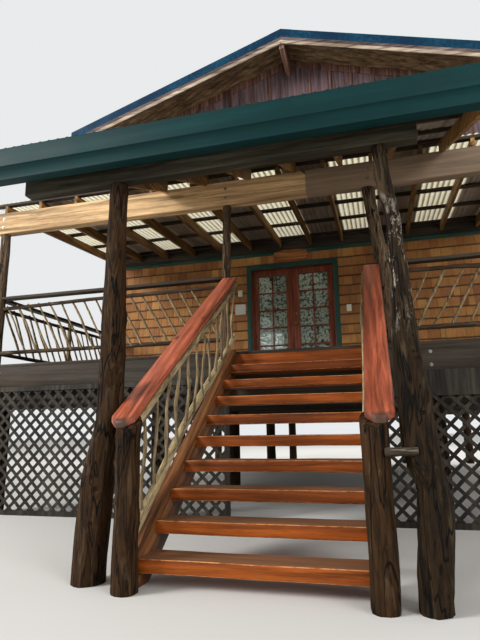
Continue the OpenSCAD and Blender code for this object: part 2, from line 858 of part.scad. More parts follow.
module lattice_right() {
    color("#5a4a3c") at_centre()
        translate([stair_x + stair_out, 0, 0]) lattice_panel(half_w - stair_x - stair_out, beam_d);
}

door_left = -door_x - rough_w / 2;
door_right = -door_x + rough_w / 2;

module front_wall_left() {
    color(shingle) at_centre()
        block([-half_w, wall_y, floor_z], [door_left, wall_y + wall_t, upper_z]);
}

module front_wall_right() {
    color(shingle) at_centre()
        block([door_right, wall_y, floor_z], [half_w, wall_y + wall_t, upper_z]);
}

module wall_over_door() {
    color(shingle) at_centre()
        block([door_left, wall_y, rough_top], [door_right, wall_y + wall_t, upper_z]);
}

module gable_outline(low) {
    difference() {
        polygon([[-half_w, low], [half_w, low], [half_w, eaves_z], [0, ridge_under_z], [-half_w, eaves_z]]);
        translate([-ridge_beam_w / 2, ridge_under_z - ridge_beam_d])
            square([ridge_beam_w, ridge_beam_d + 1]);
    }
}

module gable_wall() {
    color(gable_brown) at_centre() along_y(wall_y, wall_y + wall_t) gable_outline(upper_z);
}

module at_windows() {
    for (y = window_ys) {
        translate([half_w, y, window_bottom]) rotate([0, 0, 90]) children();
        translate([-half_w, y, window_bottom]) rotate([0, 0, -90]) children();
    }
    for (x = window_xs)
        translate([x, back_y, window_bottom]) rotate([0, 0, 180]) children();
}

module window_hole() {
    block([-window_w / 2, -1, 0], [window_w / 2, wall_t + 1, window_h]);
}

module side_wall(side) {
    difference() {
        along_y(wall_y + wall_t, back_y - wall_t) polygon([
            [side * half_w, floor_z], [side * half_w, eaves_z],
            [side * (half_w - wall_t), eaves_z + wall_t * roof_slope], [side * (half_w - wall_t), floor_z]
        ]);
        at_windows() window_hole();
    }
}

module side_wall_left() {
    color(shingle) at_centre() side_wall(-1);
}

module side_wall_right() {
    color(shingle) at_centre() side_wall(1);
}

module back_wall() {
    color(shingle) at_centre()
        difference() {
            along_y(back_y - wall_t, back_y) gable_outline(floor_z);
            at_windows() window_hole();
        }
}

// Hinge barrel and plate, drawn from the pin towards +X
module hinge_half(reach, z) {
    translate([0, 0, z]) cylinder(h = hinge_len, r = hinge_r, $fn = 32);
    block([0, -hinge_r - 1, z], [reach, -hinge_r + 2, z + hinge_len]);
}

sill_t = 15;

module door_frame() {
    color(door_wood) at_centre() {
        along_y(wall_y, wall_y + wall_t)
            difference() {
                translate([door_left, floor_z]) square([rough_w, rough_top - floor_z]);
                translate([door_left + jamb_t, floor_z + sill_t])
                    square([opening_w, opening_top - floor_z - sill_t]);
            }
        for (side = [-1, 1])
            translate([-door_x + side * opening_w / 2, 0, 0]) mirror([side > 0 ? 1 : 0, 0, 0]) {
                block([-1, leaf_front - leaf_gap - 20, floor_z + 10],
                      [17, leaf_front - leaf_gap, opening_top + 1]);
                for (h = hinge_heights)
                    translate([leaf_gap / 2, hinge_y, 0]) mirror([1, 0, 0]) hinge_half(30, leaf_bottom + h);
            }
    }
}

module door_leaf() {
    difference() {
        cube([leaf_w, leaf_t, leaf_h]);
        block([stile_w, -1, bottom_rail_h], [leaf_w - stile_w, leaf_t + 1, bottom_rail_h + glass_h]);
    }
    difference() {
        union() {
            block([leaf_w / 2 - bar_w / 2, 6, bottom_rail_h - 1],
                  [leaf_w / 2 + bar_w / 2, leaf_t - 6, bottom_rail_h + glass_h + 1]);
            for (k = [1 : pane_rows - 1])
                let (z = bottom_rail_h + glass_h * k / pane_rows)
                    block([stile_w - 1, 6, z - bar_w / 2], [leaf_w - stile_w + 1, leaf_t - 6, z + bar_w / 2]);
        }
        door_pane();
    }
    for (h = hinge_heights)
        translate([-leaf_gap / 2, leaf_t + hinge_r + 1, 0]) hinge_half(45, h + hinge_len + seat);
}

module place_left_leaf() {
    translate([-door_x - opening_w / 2 + leaf_gap, leaf_front, leaf_bottom]) children();
}

module place_right_leaf() {
    translate([-door_x + opening_w / 2 - leaf_gap, leaf_front, leaf_bottom]) mirror([1, 0, 0]) children();
}

module door_pane() {
    block([stile_w, leaf_t / 2, bottom_rail_h],
          [leaf_w - stile_w, leaf_t / 2 + glass_t, bottom_rail_h + glass_h]);
}

module lace_panel() {
    hem = 25;
    block([stile_w - hem, leaf_t + seat, bottom_rail_h - hem],
          [leaf_w - stile_w + hem, leaf_t + 3, bottom_rail_h + glass_h + hem]);
}

knob_x = leaf_w - stile_w / 2;
spindle_r = 10;

module knob_set() {
    rose_t = 8;
    knob_out = 46;
    translate([knob_x, leaf_t + knob_out - 4, knob_h]) rotate([90, 0, 0])
        cylinder(h = leaf_t + 2 * knob_out - 8, r = spindle_r, $fn = 24);
    for (y = [0, leaf_t + rose_t])
        translate([knob_x, y, knob_h]) rotate([90, 0, 0]) cylinder(h = rose_t, r = 30, $fn = 40);
    for (y = [-knob_out, leaf_t + knob_out])
        translate([knob_x, y, knob_h]) sphere(r = 26, $fn = 32);
    translate([knob_x, 0, lock_h]) rotate([90, 0, 0]) cylinder(h = 12, r = 28, $fn = 40);
}

module door_leaf_left() {
    color(door_wood) at_centre() place_left_leaf() door_leaf();
}

module door_leaf_right() {
    color(door_wood) at_centre() place_right_leaf() difference() {
        door_leaf();
        translate([knob_x, leaf_t + 1, knob_h]) rotate([90, 0, 0])
            cylinder(h = leaf_t + 2, r = spindle_r, $fn = 24);
    }
}

module door_knobs() {
    color("#b08d4c") at_centre() place_right_leaf() knob_set();
}

module door_glass_left() {
    color([0.75, 0.8, 0.78, 0.5]) at_centre() place_left_leaf() door_pane();
}

module door_glass_right() {
    color([0.75, 0.8, 0.78, 0.5]) at_centre() place_right_leaf() door_pane();
}

module lace_left() {
    color("#d8d3c4") at_centre() place_left_leaf() lace_panel();
}

module lace_right() {
    color("#d8d3c4") at_centre() place_right_leaf() lace_panel();
}

band_top = ledger_bottom - 2;
band_h = 70;

module window_trim_ring() {
    difference() {
        block([-window_w / 2 - trim_w, -trim_t, -trim_w], [window_w / 2 + trim_w, 0, window_h + trim_w]);
        block([-window_w / 2, -trim_t - 1, 0], [window_w / 2, 1, window_h]);
    }
}

module wall_trim() {
    head = opening_top + trim_w;
    color(trim_green) at_centre() {
        along_y(wall_y - trim_t, wall_y)
            difference() {
                translate([-door_x - opening_w / 2 - trim_w, floor_z])
                    square([opening_w + 2 * trim_w, head - floor_z]);
                translate([-door_x - opening_w / 2, floor_z - 1])
                    square([opening_w, opening_top - floor_z + 1]);
            }
        block([-half_w, wall_y - trim_t, band_top - band_h], [half_w, wall_y, band_top]);
        at_windows() window_trim_ring();
    }
}

frame_w = 45;
pane_y = 48;

module window_frames() {
    color(cream) at_centre() at_windows() {
        difference() {
            block([-window_w / 2, 15, 0], [window_w / 2, 85, window_h]);
            block([-window_w / 2 + frame_w, 14, frame_w], [window_w / 2 - frame_w, 86, window_h - frame_w]);
        }
        block([-bar_w / 2, 20, frame_w - 1], [bar_w / 2, pane_y, window_h - frame_w + 1]);
        block([-window_w / 2 + frame_w - 1, 20, window_h / 2 - bar_w / 2],
              [window_w / 2 - frame_w + 1, pane_y, window_h / 2 + bar_w / 2]);
    }
}

module window_glass() {
    color([0.75, 0.8, 0.78, 0.5]) at_centre() at_windows()
        block([-window_w / 2 + frame_w, pane_y, frame_w],
              [window_w / 2 - frame_w, pane_y + glass_t, window_h - frame_w]);
}

flashing_t = 3;
barge_front = roof_front + flashing_t;
barge_back = roof_back - flashing_t;
sheet_count = floor((roof_back - roof_front - 20) / wave_pitch);

module chevron(half, top, depth) {
    polygon([
        [-half, top - half * roof_slope], [0, top], [half, top - half * roof_slope],
        [half, top - half * roof_slope - depth], [0, top - depth], [-half, top - half * roof_slope - depth]
    ]);
}

// Two sloping strips that meet at the ridge with a fine joint between them
module rake_pair(half, top, depth) {
    joint = seat / 2;
    for (side = [-1, 1])
        polygon([
            [side * joint, top - joint * roof_slope], [side * half, top - half * roof_slope],
            [side * half, top - half * roof_slope - depth], [side * joint, top - joint * roof_slope - depth]
        ]);
}

module roof_boards() {
    color("#6b5138") at_centre() along_y(barge_front + barge_t, barge_back - barge_t)
        rake_pair(roof_half - barge_t - seat, boards_under_z + board_plumb, board_plumb);
}

module main_roof_sheet() {
    eave_z = boards_under_z + board_plumb - roof_half * roof_slope;
    translate([roof_half, (roof_front + roof_back) / 2, eave_z])
        rotate([0, 0, 90]) sloping_sheet(0, sheet_count, 0, roof_half - 20, 0, roof_slope);
}

module main_roof_right() {
    color(roof_green) at_centre() main_roof_sheet();
}

module main_roof_left() {
    color(roof_green) at_centre() mirror([1, 0, 0]) main_roof_sheet();
}

module roof_flashings() {
    cap_under = boards_under_z + board_plumb + wave_d / cos(roof_pitch) + 2 * seat;
    rake_d = 140;
    cap_half = 220;
    color(roof_green) at_centre() {
        along_y(roof_front, roof_back) chevron(cap_half, cap_under + flashing_t, flashing_t);
        for (y = [roof_front, barge_back])
            along_y(y, y + flashing_t) chevron(roof_half, cap_under, rake_d);
    }
}

module ridge_beam() {
    half = ridge_beam_w / 2;
    color(gable_brown) at_centre() along_y(barge_front + barge_t, barge_back - barge_t) polygon([
        [-half, ridge_under_z - half * roof_slope], [0, ridge_under_z],
        [half, ridge_under_z - half * roof_slope],
        [half, ridge_under_z - ridge_beam_d], [-half, ridge_under_z - ridge_beam_d]
    ]);
}

module barge_boards() {
    top = boards_under_z + board_plumb;
    eave_top = top - roof_half * roof_slope;
    color(cream) at_centre() {
        for (y = [barge_front, barge_back - barge_t])
            along_y(y, y + barge_t) rake_pair(roof_half, top, barge_d);
        for (side = [-1, 1])
            translate([side * (roof_half - barge_t / 2), 0, 0])
                block([-barge_t / 2, barge_front + barge_t + seat, eave_top - barge_d * 0.7],
                      [barge_t / 2, barge_back - barge_t - seat, eave_top]);
    }
}

frieze_d = 150;
function frieze_bottom(x) = ridge_under_z - abs(x) * roof_slope - frieze_d;

module rake_friezes() {
    frieze_t = 20;
    batten_w = 45;
    batten_pitch = 406;
    count = floor((half_w - batten_w) / batten_pitch);
    color(gable_brown) at_centre()
        for (y = [wall_y - frieze_t, back_y]) {
            difference() {
                along_y(y, y + frieze_t) chevron(half_w, ridge_under_z, frieze_d);
                block([-ridge_beam_w / 2, y - 1, ridge_under_z - ridge_beam_d],
                      [ridge_beam_w / 2, y + frieze_t + 1, ridge_under_z]);
            }
            for (k = [-count : count])
                let (x = k * batten_pitch, base = y < mid_y ? ledger_bottom + ledger_d : upper_z)
                    if (k != 0)
                        block([x - batten_w / 2, y, base],
                              [x + batten_w / 2, y + frieze_t, frieze_bottom(x) + 5]);
        }
}

module door_plaque() {
    plaque_t = 20;
    color("#8a5a36") at_centre()
        block([-door_x - plaque_w / 2, wall_y - trim_t - plaque_t, band_top - 2 - plaque_h],
              [-door_x + plaque_w / 2, wall_y - trim_t, band_top - 2]);
}

stair_treads();
stair_stringers();
newel_posts();
handrails();
stair_branch_rails();
front_logs();
deck_posts();
header_beam();
eave_beam();
roof_rafters();
roof_purlins();
canopy_sheet();
eave_gutter();
deck_roof_sheets();
skylight_sheets();
wall_ledger();
deck_boards();
house_floor();
floor_joists();
rim_boards();
floor_beams();
stilts();
deck_railings();
lattice_left();
lattice_right();
front_wall_left();
front_wall_right();
wall_over_door();
gable_wall();
side_wall_left();
side_wall_right();
back_wall();
door_frame();
door_leaf_left();
door_leaf_right();
door_knobs();
door_glass_left();
door_glass_right();
lace_left();
lace_right();
wall_trim();
window_frames();
window_glass();
roof_boards();
main_roof_left();
main_roof_right();
roof_flashings();
ridge_beam();
barge_boards();
rake_friezes();
door_plaque();
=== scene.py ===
"""Stilt house: shingled walls over log stilts, a covered deck and a wide open stair."""

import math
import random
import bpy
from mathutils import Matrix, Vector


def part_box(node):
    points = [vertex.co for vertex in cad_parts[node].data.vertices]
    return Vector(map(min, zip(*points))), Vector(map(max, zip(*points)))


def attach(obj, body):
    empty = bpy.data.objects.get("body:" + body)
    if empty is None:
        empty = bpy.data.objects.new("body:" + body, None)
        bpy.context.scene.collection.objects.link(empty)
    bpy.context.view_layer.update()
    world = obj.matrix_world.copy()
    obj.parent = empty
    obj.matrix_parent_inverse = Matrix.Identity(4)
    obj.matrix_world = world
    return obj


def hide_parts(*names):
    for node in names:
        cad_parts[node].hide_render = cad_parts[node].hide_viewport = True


bl_info = {
    "name": "Stilt House",
    "version": (1, 0, 0),
    "blender": (4, 5, 0),
    "location": "View3D > Sidebar > Stilt House",
    "description": "Shingled house on stilts with branch railings, log posts and a covered deck",
    "category": "Add Mesh",
}

import bmesh
import bpy
from mathutils import Matrix, Vector, noise

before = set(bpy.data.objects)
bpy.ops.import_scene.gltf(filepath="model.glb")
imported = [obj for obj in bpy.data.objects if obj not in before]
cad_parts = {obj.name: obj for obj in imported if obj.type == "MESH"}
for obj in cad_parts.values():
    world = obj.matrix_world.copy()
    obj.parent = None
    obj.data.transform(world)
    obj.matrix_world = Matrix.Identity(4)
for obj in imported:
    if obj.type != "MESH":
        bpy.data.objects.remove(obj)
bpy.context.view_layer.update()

MM = 0.001
SEED = 7
UP = Vector((0, 0, 1))
WAVE_PITCH = 76 * MM
WAVE_D = 18 * MM
WAVE_FACES = 8


def low(node):
    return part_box(node)[0]


def high(node):
    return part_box(node)[1]


# Places read from the frame, in metres
DECK_EDGE = low("deck_boards").y
FLOOR_Z = high("deck_boards").z
HALF_W = high("deck_boards").x
WALL_Y = high("deck_boards").y
BACK_Y = high("back_wall").y
UPPER_Z = low("gable_wall").z
WALL_T = 120 * MM
MAIN_ROOF_TILT = math.radians(17.5)
EAVES_Z = high("side_wall_left").z - WALL_T * math.tan(MAIN_ROOF_TILT)
STAIR_LEFT = low("stair_treads").x
STAIR_RIGHT = high("stair_treads").x
STAIR_X = (STAIR_LEFT + STAIR_RIGHT) / 2
TREAD_D = 270 * MM
TREADS = 9
RISE = FLOOR_Z / (TREADS + 1)
RUN = (high("stair_treads").y - low("stair_treads").y - TREAD_D) / (TREADS - 1)
STAIR_SLOPE = RISE / RUN
HANDRAIL_T = 54 * MM
HANDRAIL_W = 180 * MM
HANDRAIL_FOOT = low("handrails")
HANDRAIL_HEAD = high("handrails")
HANDRAIL_SLOPE = (HANDRAIL_HEAD.z - HANDRAIL_FOOT.z - HANDRAIL_T) / (HANDRAIL_HEAD.y - HANDRAIL_FOOT.y)
DOOR_TRIM_W = 53 * MM
DOOR_TRIM_TOP = 4.045
DOOR_TRIM_LOW = Vector((low("door_frame").x - DOOR_TRIM_W, 0, FLOOR_Z))
DOOR_TRIM_HIGH = Vector((high("door_frame").x + DOOR_TRIM_W, 0, DOOR_TRIM_TOP))
BAND_LOW = high("door_plaque").z - 68 * MM
WINDOW_W = 900 * MM
WINDOW_H = 1100 * MM
TRIM_W = 88 * MM
WINDOW_Z = low("window_frames").z
WINDOW_YS = [WALL_Y + (BACK_Y - WALL_Y) * share for share in (0.28, 0.72)]
WINDOW_XS = [-2 * HALF_W * 0.24, 2 * HALF_W * 0.24]
HEADER_JOINT = 650 * MM


def srgb(code):
    """Linear colour of an sRGB hex value"""
    parts = [int(code[i:i + 2], 16) / 255 for i in (1, 3, 5)]
    return tuple(c / 12.92 if c <= 0.04045 else ((c + 0.055) / 1.055) ** 2.4 for c in parts)


def rgba(colour):
    return (*colour, 1.0)


def scaled(colour, share):
    return tuple(share * c for c in colour)


def add(tree, kind, out=None, inputs=None, stops=(), **settings):
    """Adds a shader node with its settings, inputs (sockets, numbers or colours) and colour stops

    It gives back the output that out names, or all of them.
    """
    node = tree.nodes.new("ShaderNode" + kind)
    for key, value in settings.items():
        setattr(node, key, value)
    for key, value in (inputs or {}).items():
        socket = node.inputs[key]
        if hasattr(value, "is_output"):
            tree.links.new(value, socket)
        else:
            socket.default_value = rgba(value) if socket.type == "RGBA" else value
    for index, (place, colour) in enumerate(stops):
        elements = node.color_ramp.elements
        stop = elements[index] if index < len(elements) else elements.new(place)
        stop.position = place
        stop.color = rgba(colour)
    return node.outputs if out is None else node.outputs[out]


def every(cell):
    """Scale of a pattern whose cells are a size in millimetres"""
    return 1 / (cell * MM)


def shader(tree, colour, roughness, height=None, relief=0.3, depth=2 * MM, **plain):
    """Principled surface with a bump of the given height"""
    inputs = {"Base Color": colour, "Roughness": roughness, **plain}
    if height is not None:
        inputs["Normal"] = add(tree, "Bump", "Normal",
                               {"Strength": relief, "Distance": depth, "Height": height})
    return add(tree, "BsdfPrincipled", "BSDF", inputs)


def over(tree, under, upper, field, start, end, share=1.0):
    """Lays one colour over another, up to a share, as a field goes from its start to its end value"""
    mask = add(tree, "MapRange", "Result",
               {"From Min": start, "From Max": end, "To Max": share, "Value": field})
    return add(tree, "Mix", 2, {0: mask, 6: under, 7: upper}, data_type="RGBA")


def veiled(tree, colour, field, share, stops):
    """Darkens a colour by the ramp of a field"""
    veil = add(tree, "ValToRGB", "Color", {"Fac": field}, stops)
    return add(tree, "Mix", 2, {0: share, 6: colour, 7: veil}, data_type="RGBA", blend_type="MULTIPLY")


GRAIN = {"X": (0.05, 1, 1), "Y": (1, 0.05, 1), "Z": (1, 1, 0.05)}
WHITE = (1, 1, 1)


def grain_places(tree, grain, slope, stretch):
    """Object coordinates as they are, turned level, and stretched along the grain"""
    place = add(tree, "TexCoord", "Object")
    level = add(tree, "Mapping", "Vector", {"Rotation": (-slope, 0, 0), "Vector": place})
    scale = tuple(min(1, stretch * s) for s in GRAIN[grain])
    return place, level, add(tree, "Mapping", "Vector", {"Scale": scale, "Vector": level})


def timber(tree, dark, mid, light, grain="X", slope=0.0, width=22 * MM, rough=0.6, relief=0.35, coat=0.0,
           weather=None, top=None, zone=None, wear_and_highlight=None):
    """Sawn or planed timber: streaks and flowing rings along the grain, knots, tone from piece to piece.

    The grain is stretched twenty times along its length, and a sloping piece is turned level first.
    Weather, top and wear_and_highlight are a share and a colour each; wear_and_highlight colours the middles
    of rounded edges, as rubbed wear and, where its colour is pale, as a painted highlight. A zone (axis,
    start, end, share, colour) gives one end of the piece another colour; on the header beam that colour is
    partly painted shade.
    """
    place, level, along = grain_places(tree, grain, slope, 1)

    def streaked(code, share):
        return add(tree, "Mix", 2, {0: streak, 6: scaled(srgb(code), share), 7: srgb(code)}, data_type="RGBA")

    streak, fine, tone = (
        add(tree, "TexNoise", "Fac", {"Scale": scale, "Detail": detail, "Roughness": fuzz, "Distortion": bend,
                                      "Vector": along})
        for scale, detail, fuzz, bend in ((1 / (2.2 * width), 9, 0.7, 0.7), (4 / width, 5, 0.7, 0),
                                          (every(385), 4, 0.6, 0)))
    rings = add(tree, "TexWave", "Fac",
                {"Scale": 0.16 / width, "Distortion": 9, "Detail": 3, "Detail Scale": 0.9, "Vector": along},
                bands_direction="DIAGONAL")
    loose = add(tree, "Mapping", "Vector",
                {"Scale": tuple(0.4 if s < 1 else 1 for s in GRAIN[grain]), "Vector": level})
    knot = add(tree, "TexVoronoi", "Distance", {"Scale": every(295), "Vector": loose})
    colour = add(tree, "ValToRGB", "Color", {"Fac": streak}, ((0.36, dark), (0.5, mid), (0.66, light)))
    colour = veiled(tree, colour, tone, 0.85,
                    ((0.34, (0.5, 0.46, 0.44)), (0.52, WHITE), (0.7, (1.0, 0.98, 0.92))))
    colour = veiled(tree, colour, rings, 0.6, ((0.25, WHITE), (0.8, (0.55, 0.5, 0.47))))
    colour = veiled(tree, colour, fine, 0.6, ((0.34, (0.5, 0.46, 0.43)), (0.5, WHITE)))
    colour = over(tree, scaled(dark, 0.5), colour, knot, 0.03, 0.085)
    if weather:
        patch = add(tree, "TexNoise", "Fac",
                    {"Scale": every(200), "Detail": 6, "Roughness": 0.7, "Vector": along})
        colour = over(tree, colour, srgb(weather[1]), patch, 0.48, 0.68, weather[0])
    if top:
        facing = add(tree, "SeparateXYZ", "Z", {"Vector": add(tree, "NewGeometry", "Normal")})
        colour = over(tree, colour, streaked(top[1], 0.45), facing, 0.6, 0.95, top[0])
    if zone:
        axis, start, end, share, code = zone
        spot = add(tree, "SeparateXYZ", axis, {"Vector": place})
        colour = over(tree, colour, streaked(code, 0.4), spot, start, end, share)
    # Colours the middles of rounded edges: rubbed wear, and with a pale colour a painted highlight along the
    # edge
    if wear_and_highlight:
        edge = add(tree, "Attribute", "Fac", attribute_name="worn")
        scuff = add(tree, "TexNoise", "Fac",
                    {"Scale": every(71), "Detail": 6, "Roughness": 0.7, "Vector": place})
        both = add(tree, "Math", 0, {0: edge, 1: scuff}, operation="MULTIPLY")
        colour = over(tree, colour, srgb(wear_and_highlight[1]), both, 0.36, 0.52, wear_and_highlight[0])
    gloss = add(tree, "MapRange", "Result", {"To Min": rough - 0.1, "To Max": rough + 0.16, "Value": streak})
    height = add(tree, "Math", 0, {0: streak, 1: fine}, operation="ADD")
    return shader(tree, colour, gloss, height, relief, 3 * MM,
                  **{"Specular IOR Level": 0.2, "Coat Weight": coat, "Coat Roughness": 0.3})


def stained(tree, base, **finish):
    """Timber whose dark and light streaks follow from one colour"""
    return timber(tree, scaled(base, 0.42), base, tuple(min(1, 1.5 * c) for c in base), **finish)


def log_wood(tree, dark, mid, silver, veins=0.5, lichen=None, grain="Z", slope=0.0, depth=7 * MM, splits=1.0,
             relief=0.8):
    """Peeled log: grooves and splits along the trunk, silver veins, and pale lichen between two heights"""
    place, _, along = grain_places(tree, grain, slope, 2)
    groove, vein, split = (
        add(tree, "TexNoise", "Fac", {"Scale": every(cell), "Detail": detail, "Roughness": fuzz,
                                      "Distortion": bend, "Vector": along})
        for cell, detail, fuzz, bend in ((33, 9, 0.75, 1.1), (67, 7, 0.7, 1.6), (100, 3, 0.5, 0.6)))
    colour = add(tree, "ValToRGB", "Color", {"Fac": groove},
                 ((0.38, dark), (0.52, mid), (0.66, scaled(mid, 1.6))))
    colour = over(tree, colour, silver, vein, 0.54, 0.62, veins)
    offset = add(tree, "Math", 0, {0: split, 1: 0.5}, operation="SUBTRACT")
    away = add(tree, "Math", 0, {0: offset}, operation="ABSOLUTE")
    whole = add(tree, "MapRange", "Result",
                {"From Min": 0.004, "From Max": 0.022, "To Min": 1 - splits, "Value": away})
    colour = add(tree, "Mix", 2, {0: whole, 6: scaled(dark, 0.4), 7: colour}, data_type="RGBA")
    if lichen:
        code, start, end = lichen
        height = add(tree, "SeparateXYZ", "Z", {"Vector": place})
        drawn = add(tree, "Mapping", "Vector", {"Scale": (1, 1, 0.4), "Vector": place})
        spot = add(tree, "TexNoise", "Fac",
                   {"Scale": every(59), "Detail": 9, "Roughness": 0.8, "Vector": drawn})
        middle = (start + end) / 2
        near, far, spots = (
            add(tree, "MapRange", "Result", {"From Min": least, "From Max": most, "Value": field})
            for field, least, most in ((height, start, middle), (height, end, middle), (spot, 0.55, 0.6)))
        band = add(tree, "Math", 0, {0: near, 1: far}, operation="MULTIPLY")
        both = add(tree, "Math", 0, {0: band, 1: spots}, operation="MULTIPLY")
        colour = add(tree, "Mix", 2, {0: both, 6: colour, 7: srgb(code)}, data_type="RGBA")
    bumps = add(tree, "Math", 0, {0: groove, 1: whole}, operation="ADD")
    return shader(tree, colour, 0.8, bumps, relief, depth, **{"Specular IOR Level": 0.12})


def painted_steel(tree, colour, faded, under=None, rough=0.38, run="Y"):
    """Roofing steel with baked paint: chalky fading, faint runs down the slope, primer on the underside"""
    place = add(tree, "TexCoord", "Object")
    along = add(tree, "Mapping", "Vector", {"Scale": GRAIN[run], "Vector": place})
    runs, cloud = (
        add(tree, "TexNoise", "Fac", {"Scale": every(cell), "Detail": 5, "Roughness": 0.6, "Vector": spot})
        for cell, spot in ((62, along), (625, place)))
    both = add(tree, "Math", 0, {0: runs, 1: cloud}, operation="MULTIPLY")
    paint = over(tree, colour, faded, both, 0.22, 0.4, 0.75)
    if under:
        facing = add(tree, "SeparateXYZ", "Z", {"Vector": add(tree, "NewGeometry", "Normal")})
        below = add(tree, "Math", 0, {0: facing, 1: -0.55}, operation="LESS_THAN")
        primer = over(tree, under, scaled(under, 0.55), both, 0.22, 0.4, 0.75)
        paint = add(tree, "Mix", 2, {0: below, 6: paint, 7: primer}, data_type="RGBA")
    gloss = add(tree, "MapRange", "Result", {"To Min": rough - 0.08, "To Max": rough + 0.2, "Value": cloud})
    return shader(tree, paint, gloss, cloud, 0.08, 1 * MM, **{"Specular IOR Level": 0.12})


def painted_board(tree, colour, worn, grain="Z"):
    """Planed board under brushed paint: brush lines along the grain and small worn spots"""
    place, _, along = grain_places(tree, grain, 0, 1)
    brush = add(tree, "TexNoise", "Fac", {"Scale": every(11), "Detail": 4, "Roughness": 0.6, "Vector": along})
    spot = add(tree, "TexNoise", "Fac",
               {"Scale": every(143), "Detail": 8, "Roughness": 0.75, "Vector": place})
    paint = over(tree, colour, worn, spot, 0.56, 0.7, 0.7)
    return shader(tree, paint, 0.55, brush, 0.2, 1 * MM, **{"Specular IOR Level": 0.3})


def split_shingle(tree, dark, red, gold, pale):
    """Split wood shingles: each takes its own tone from the mesh, with upright fibres, a painted shadow line
    along each butt and painted shade on its underside
    """
    place, _, along = grain_places(tree, "Z", 0, 1)
    tone = add(tree, "Attribute", "Fac", attribute_name="tone")
    butt = add(tree, "Attribute", "Fac", attribute_name="butt")
    fibre = add(tree, "TexNoise", "Fac", {"Scale": every(17), "Detail": 6, "Roughness": 0.7, "Vector": along})
    stain = add(tree, "TexNoise", "Fac",
                {"Scale": every(714), "Detail": 4, "Roughness": 0.6, "Vector": place})
    colour = add(tree, "ValToRGB", "Color", {"Fac": tone},
                 ((0.0, dark), (0.3, red), (0.7, gold), (1.0, pale)))
    colour = veiled(tree, colour, fibre, 0.7, ((0.3, (0.55, 0.5, 0.45)), (0.55, WHITE)))
    colour = veiled(tree, colour, stain, 0.75, ((0.35, (0.6, 0.52, 0.45)), (0.6, WHITE)))
    # Painted shadow line: the lowest part of each shingle's face is darkened along its butt
    colour = over(tree, colour, scaled(dark, 0.6), butt, 0.86, 0.94, 0.85)
    return shader(tree, colour, 0.78, fibre, 0.5, 2 * MM)


def float_glass(tree, cast):
    """Float glass: clear with a faint green cast"""
    return shader(tree, cast, 0.03, **{"Transmission Weight": 1.0, "IOR": 1.52})


def translucent_sheet(tree, colour, dust_and_shade):
    """Fibreglass roof sheet: glows when lit from above, cream with age, darker along its valleys as dust and
    as painted shade of the waves
    """
    place = add(tree, "TexCoord", "Object")
    cloud = add(tree, "TexNoise", "Fac",
                {"Scale": every(286), "Detail": 6, "Roughness": 0.65, "Vector": place})
    # Valleys of the corrugation are darker: dust, and painted shade of the waves
    valleys = add(tree, "TexWave", "Fac", {"Scale": math.pi / (10 * WAVE_PITCH), "Vector": place},
                  bands_direction="X")
    both = add(tree, "Math", 0, {0: cloud, 1: valleys}, operation="ADD")
    cream = add(tree, "ValToRGB", "Color", {"Fac": both}, ((0.55, dust_and_shade), (0.95, colour)))
    face = shader(tree, cream, 0.4, cloud, 0.1, 1 * MM)
    through = add(tree, "BsdfTranslucent", "BSDF", {"Color": cream})
    return add(tree, "MixShader", 0, {0: 0.82, 1: face, 2: through})


def cotton_lace(tree, thread, hole):
    """Machine lace: leaf sprays on a net ground, open where the net is"""
    place = add(tree, "TexCoord", "Object")
    spray = add(tree, "TexVoronoi", "Distance", {"Scale": every(45), "Smoothness": 0.25, "Vector": place},
                feature="SMOOTH_F1")
    twist = add(tree, "TexNoise", "Fac",
                {"Scale": every(33), "Detail": 3, "Distortion": 2.2, "Vector": place})
    net = add(tree, "TexVoronoi", "Distance", {"Scale": every(6), "Vector": place},
              feature="DISTANCE_TO_EDGE")
    petals = add(tree, "Math", 0, {0: spray, 1: twist}, operation="MULTIPLY")
    solid, lines = (
        add(tree, "MapRange", "Result",
            {"From Min": start, "From Max": end, "To Min": most, "To Max": 0, "Value": field})
        for field, start, end, most in ((petals, 0.28, 0.32, 1), (net, 0.03, 0.09, 0.6)))
    cover = add(tree, "Math", 0, {0: solid, 1: lines}, operation="MAXIMUM")
    colour = add(tree, "Mix", 2, {0: cover, 6: hole, 7: thread}, data_type="RGBA")
    return shader(tree, colour, 0.85, **{"Alpha": cover})


def patchy_metal(tree, dark, light, cell, detail, rough, metallic):
    """Small metal fittings: darker in patches, where nothing rubs them"""
    place = add(tree, "TexCoord", "Object")
    patch = add(tree, "TexNoise", "Fac", {"Scale": every(cell), "Detail": detail, "Vector": place})
    colour = add(tree, "ValToRGB", "Color", {"Fac": patch}, ((0.35, dark), (0.65, light)))
    return shader(tree, colour, rough, patch, 0.1, 1 * MM, **{"Metallic": metallic})


def glazed_tile(tree, colour, crack):
    """Glazed ceramic or moulded plate: glossy, with faint crazing"""
    place = add(tree, "TexCoord", "Object")
    craze = add(tree, "TexVoronoi", "Distance", {"Scale": every(14), "Vector": place},
                feature="DISTANCE_TO_EDGE")
    return shader(tree, over(tree, colour, crack, craze, 0.05, 0, 0.35), 0.25)


def matt_floor(tree, colour):
    """Matt paint of the studio floor"""
    return shader(tree, colour, 0.9)


def size(name, text, default, least, most):
    return bpy.props.FloatProperty(name=name, description=text, default=default, min=least, max=most,
                                   unit="LENGTH")


def tint(name, text, code):
    return bpy.props.FloatVectorProperty(name=name, description=text, default=srgb(code), size=3,
                                         min=0.0, max=1.0, subtype="COLOR")


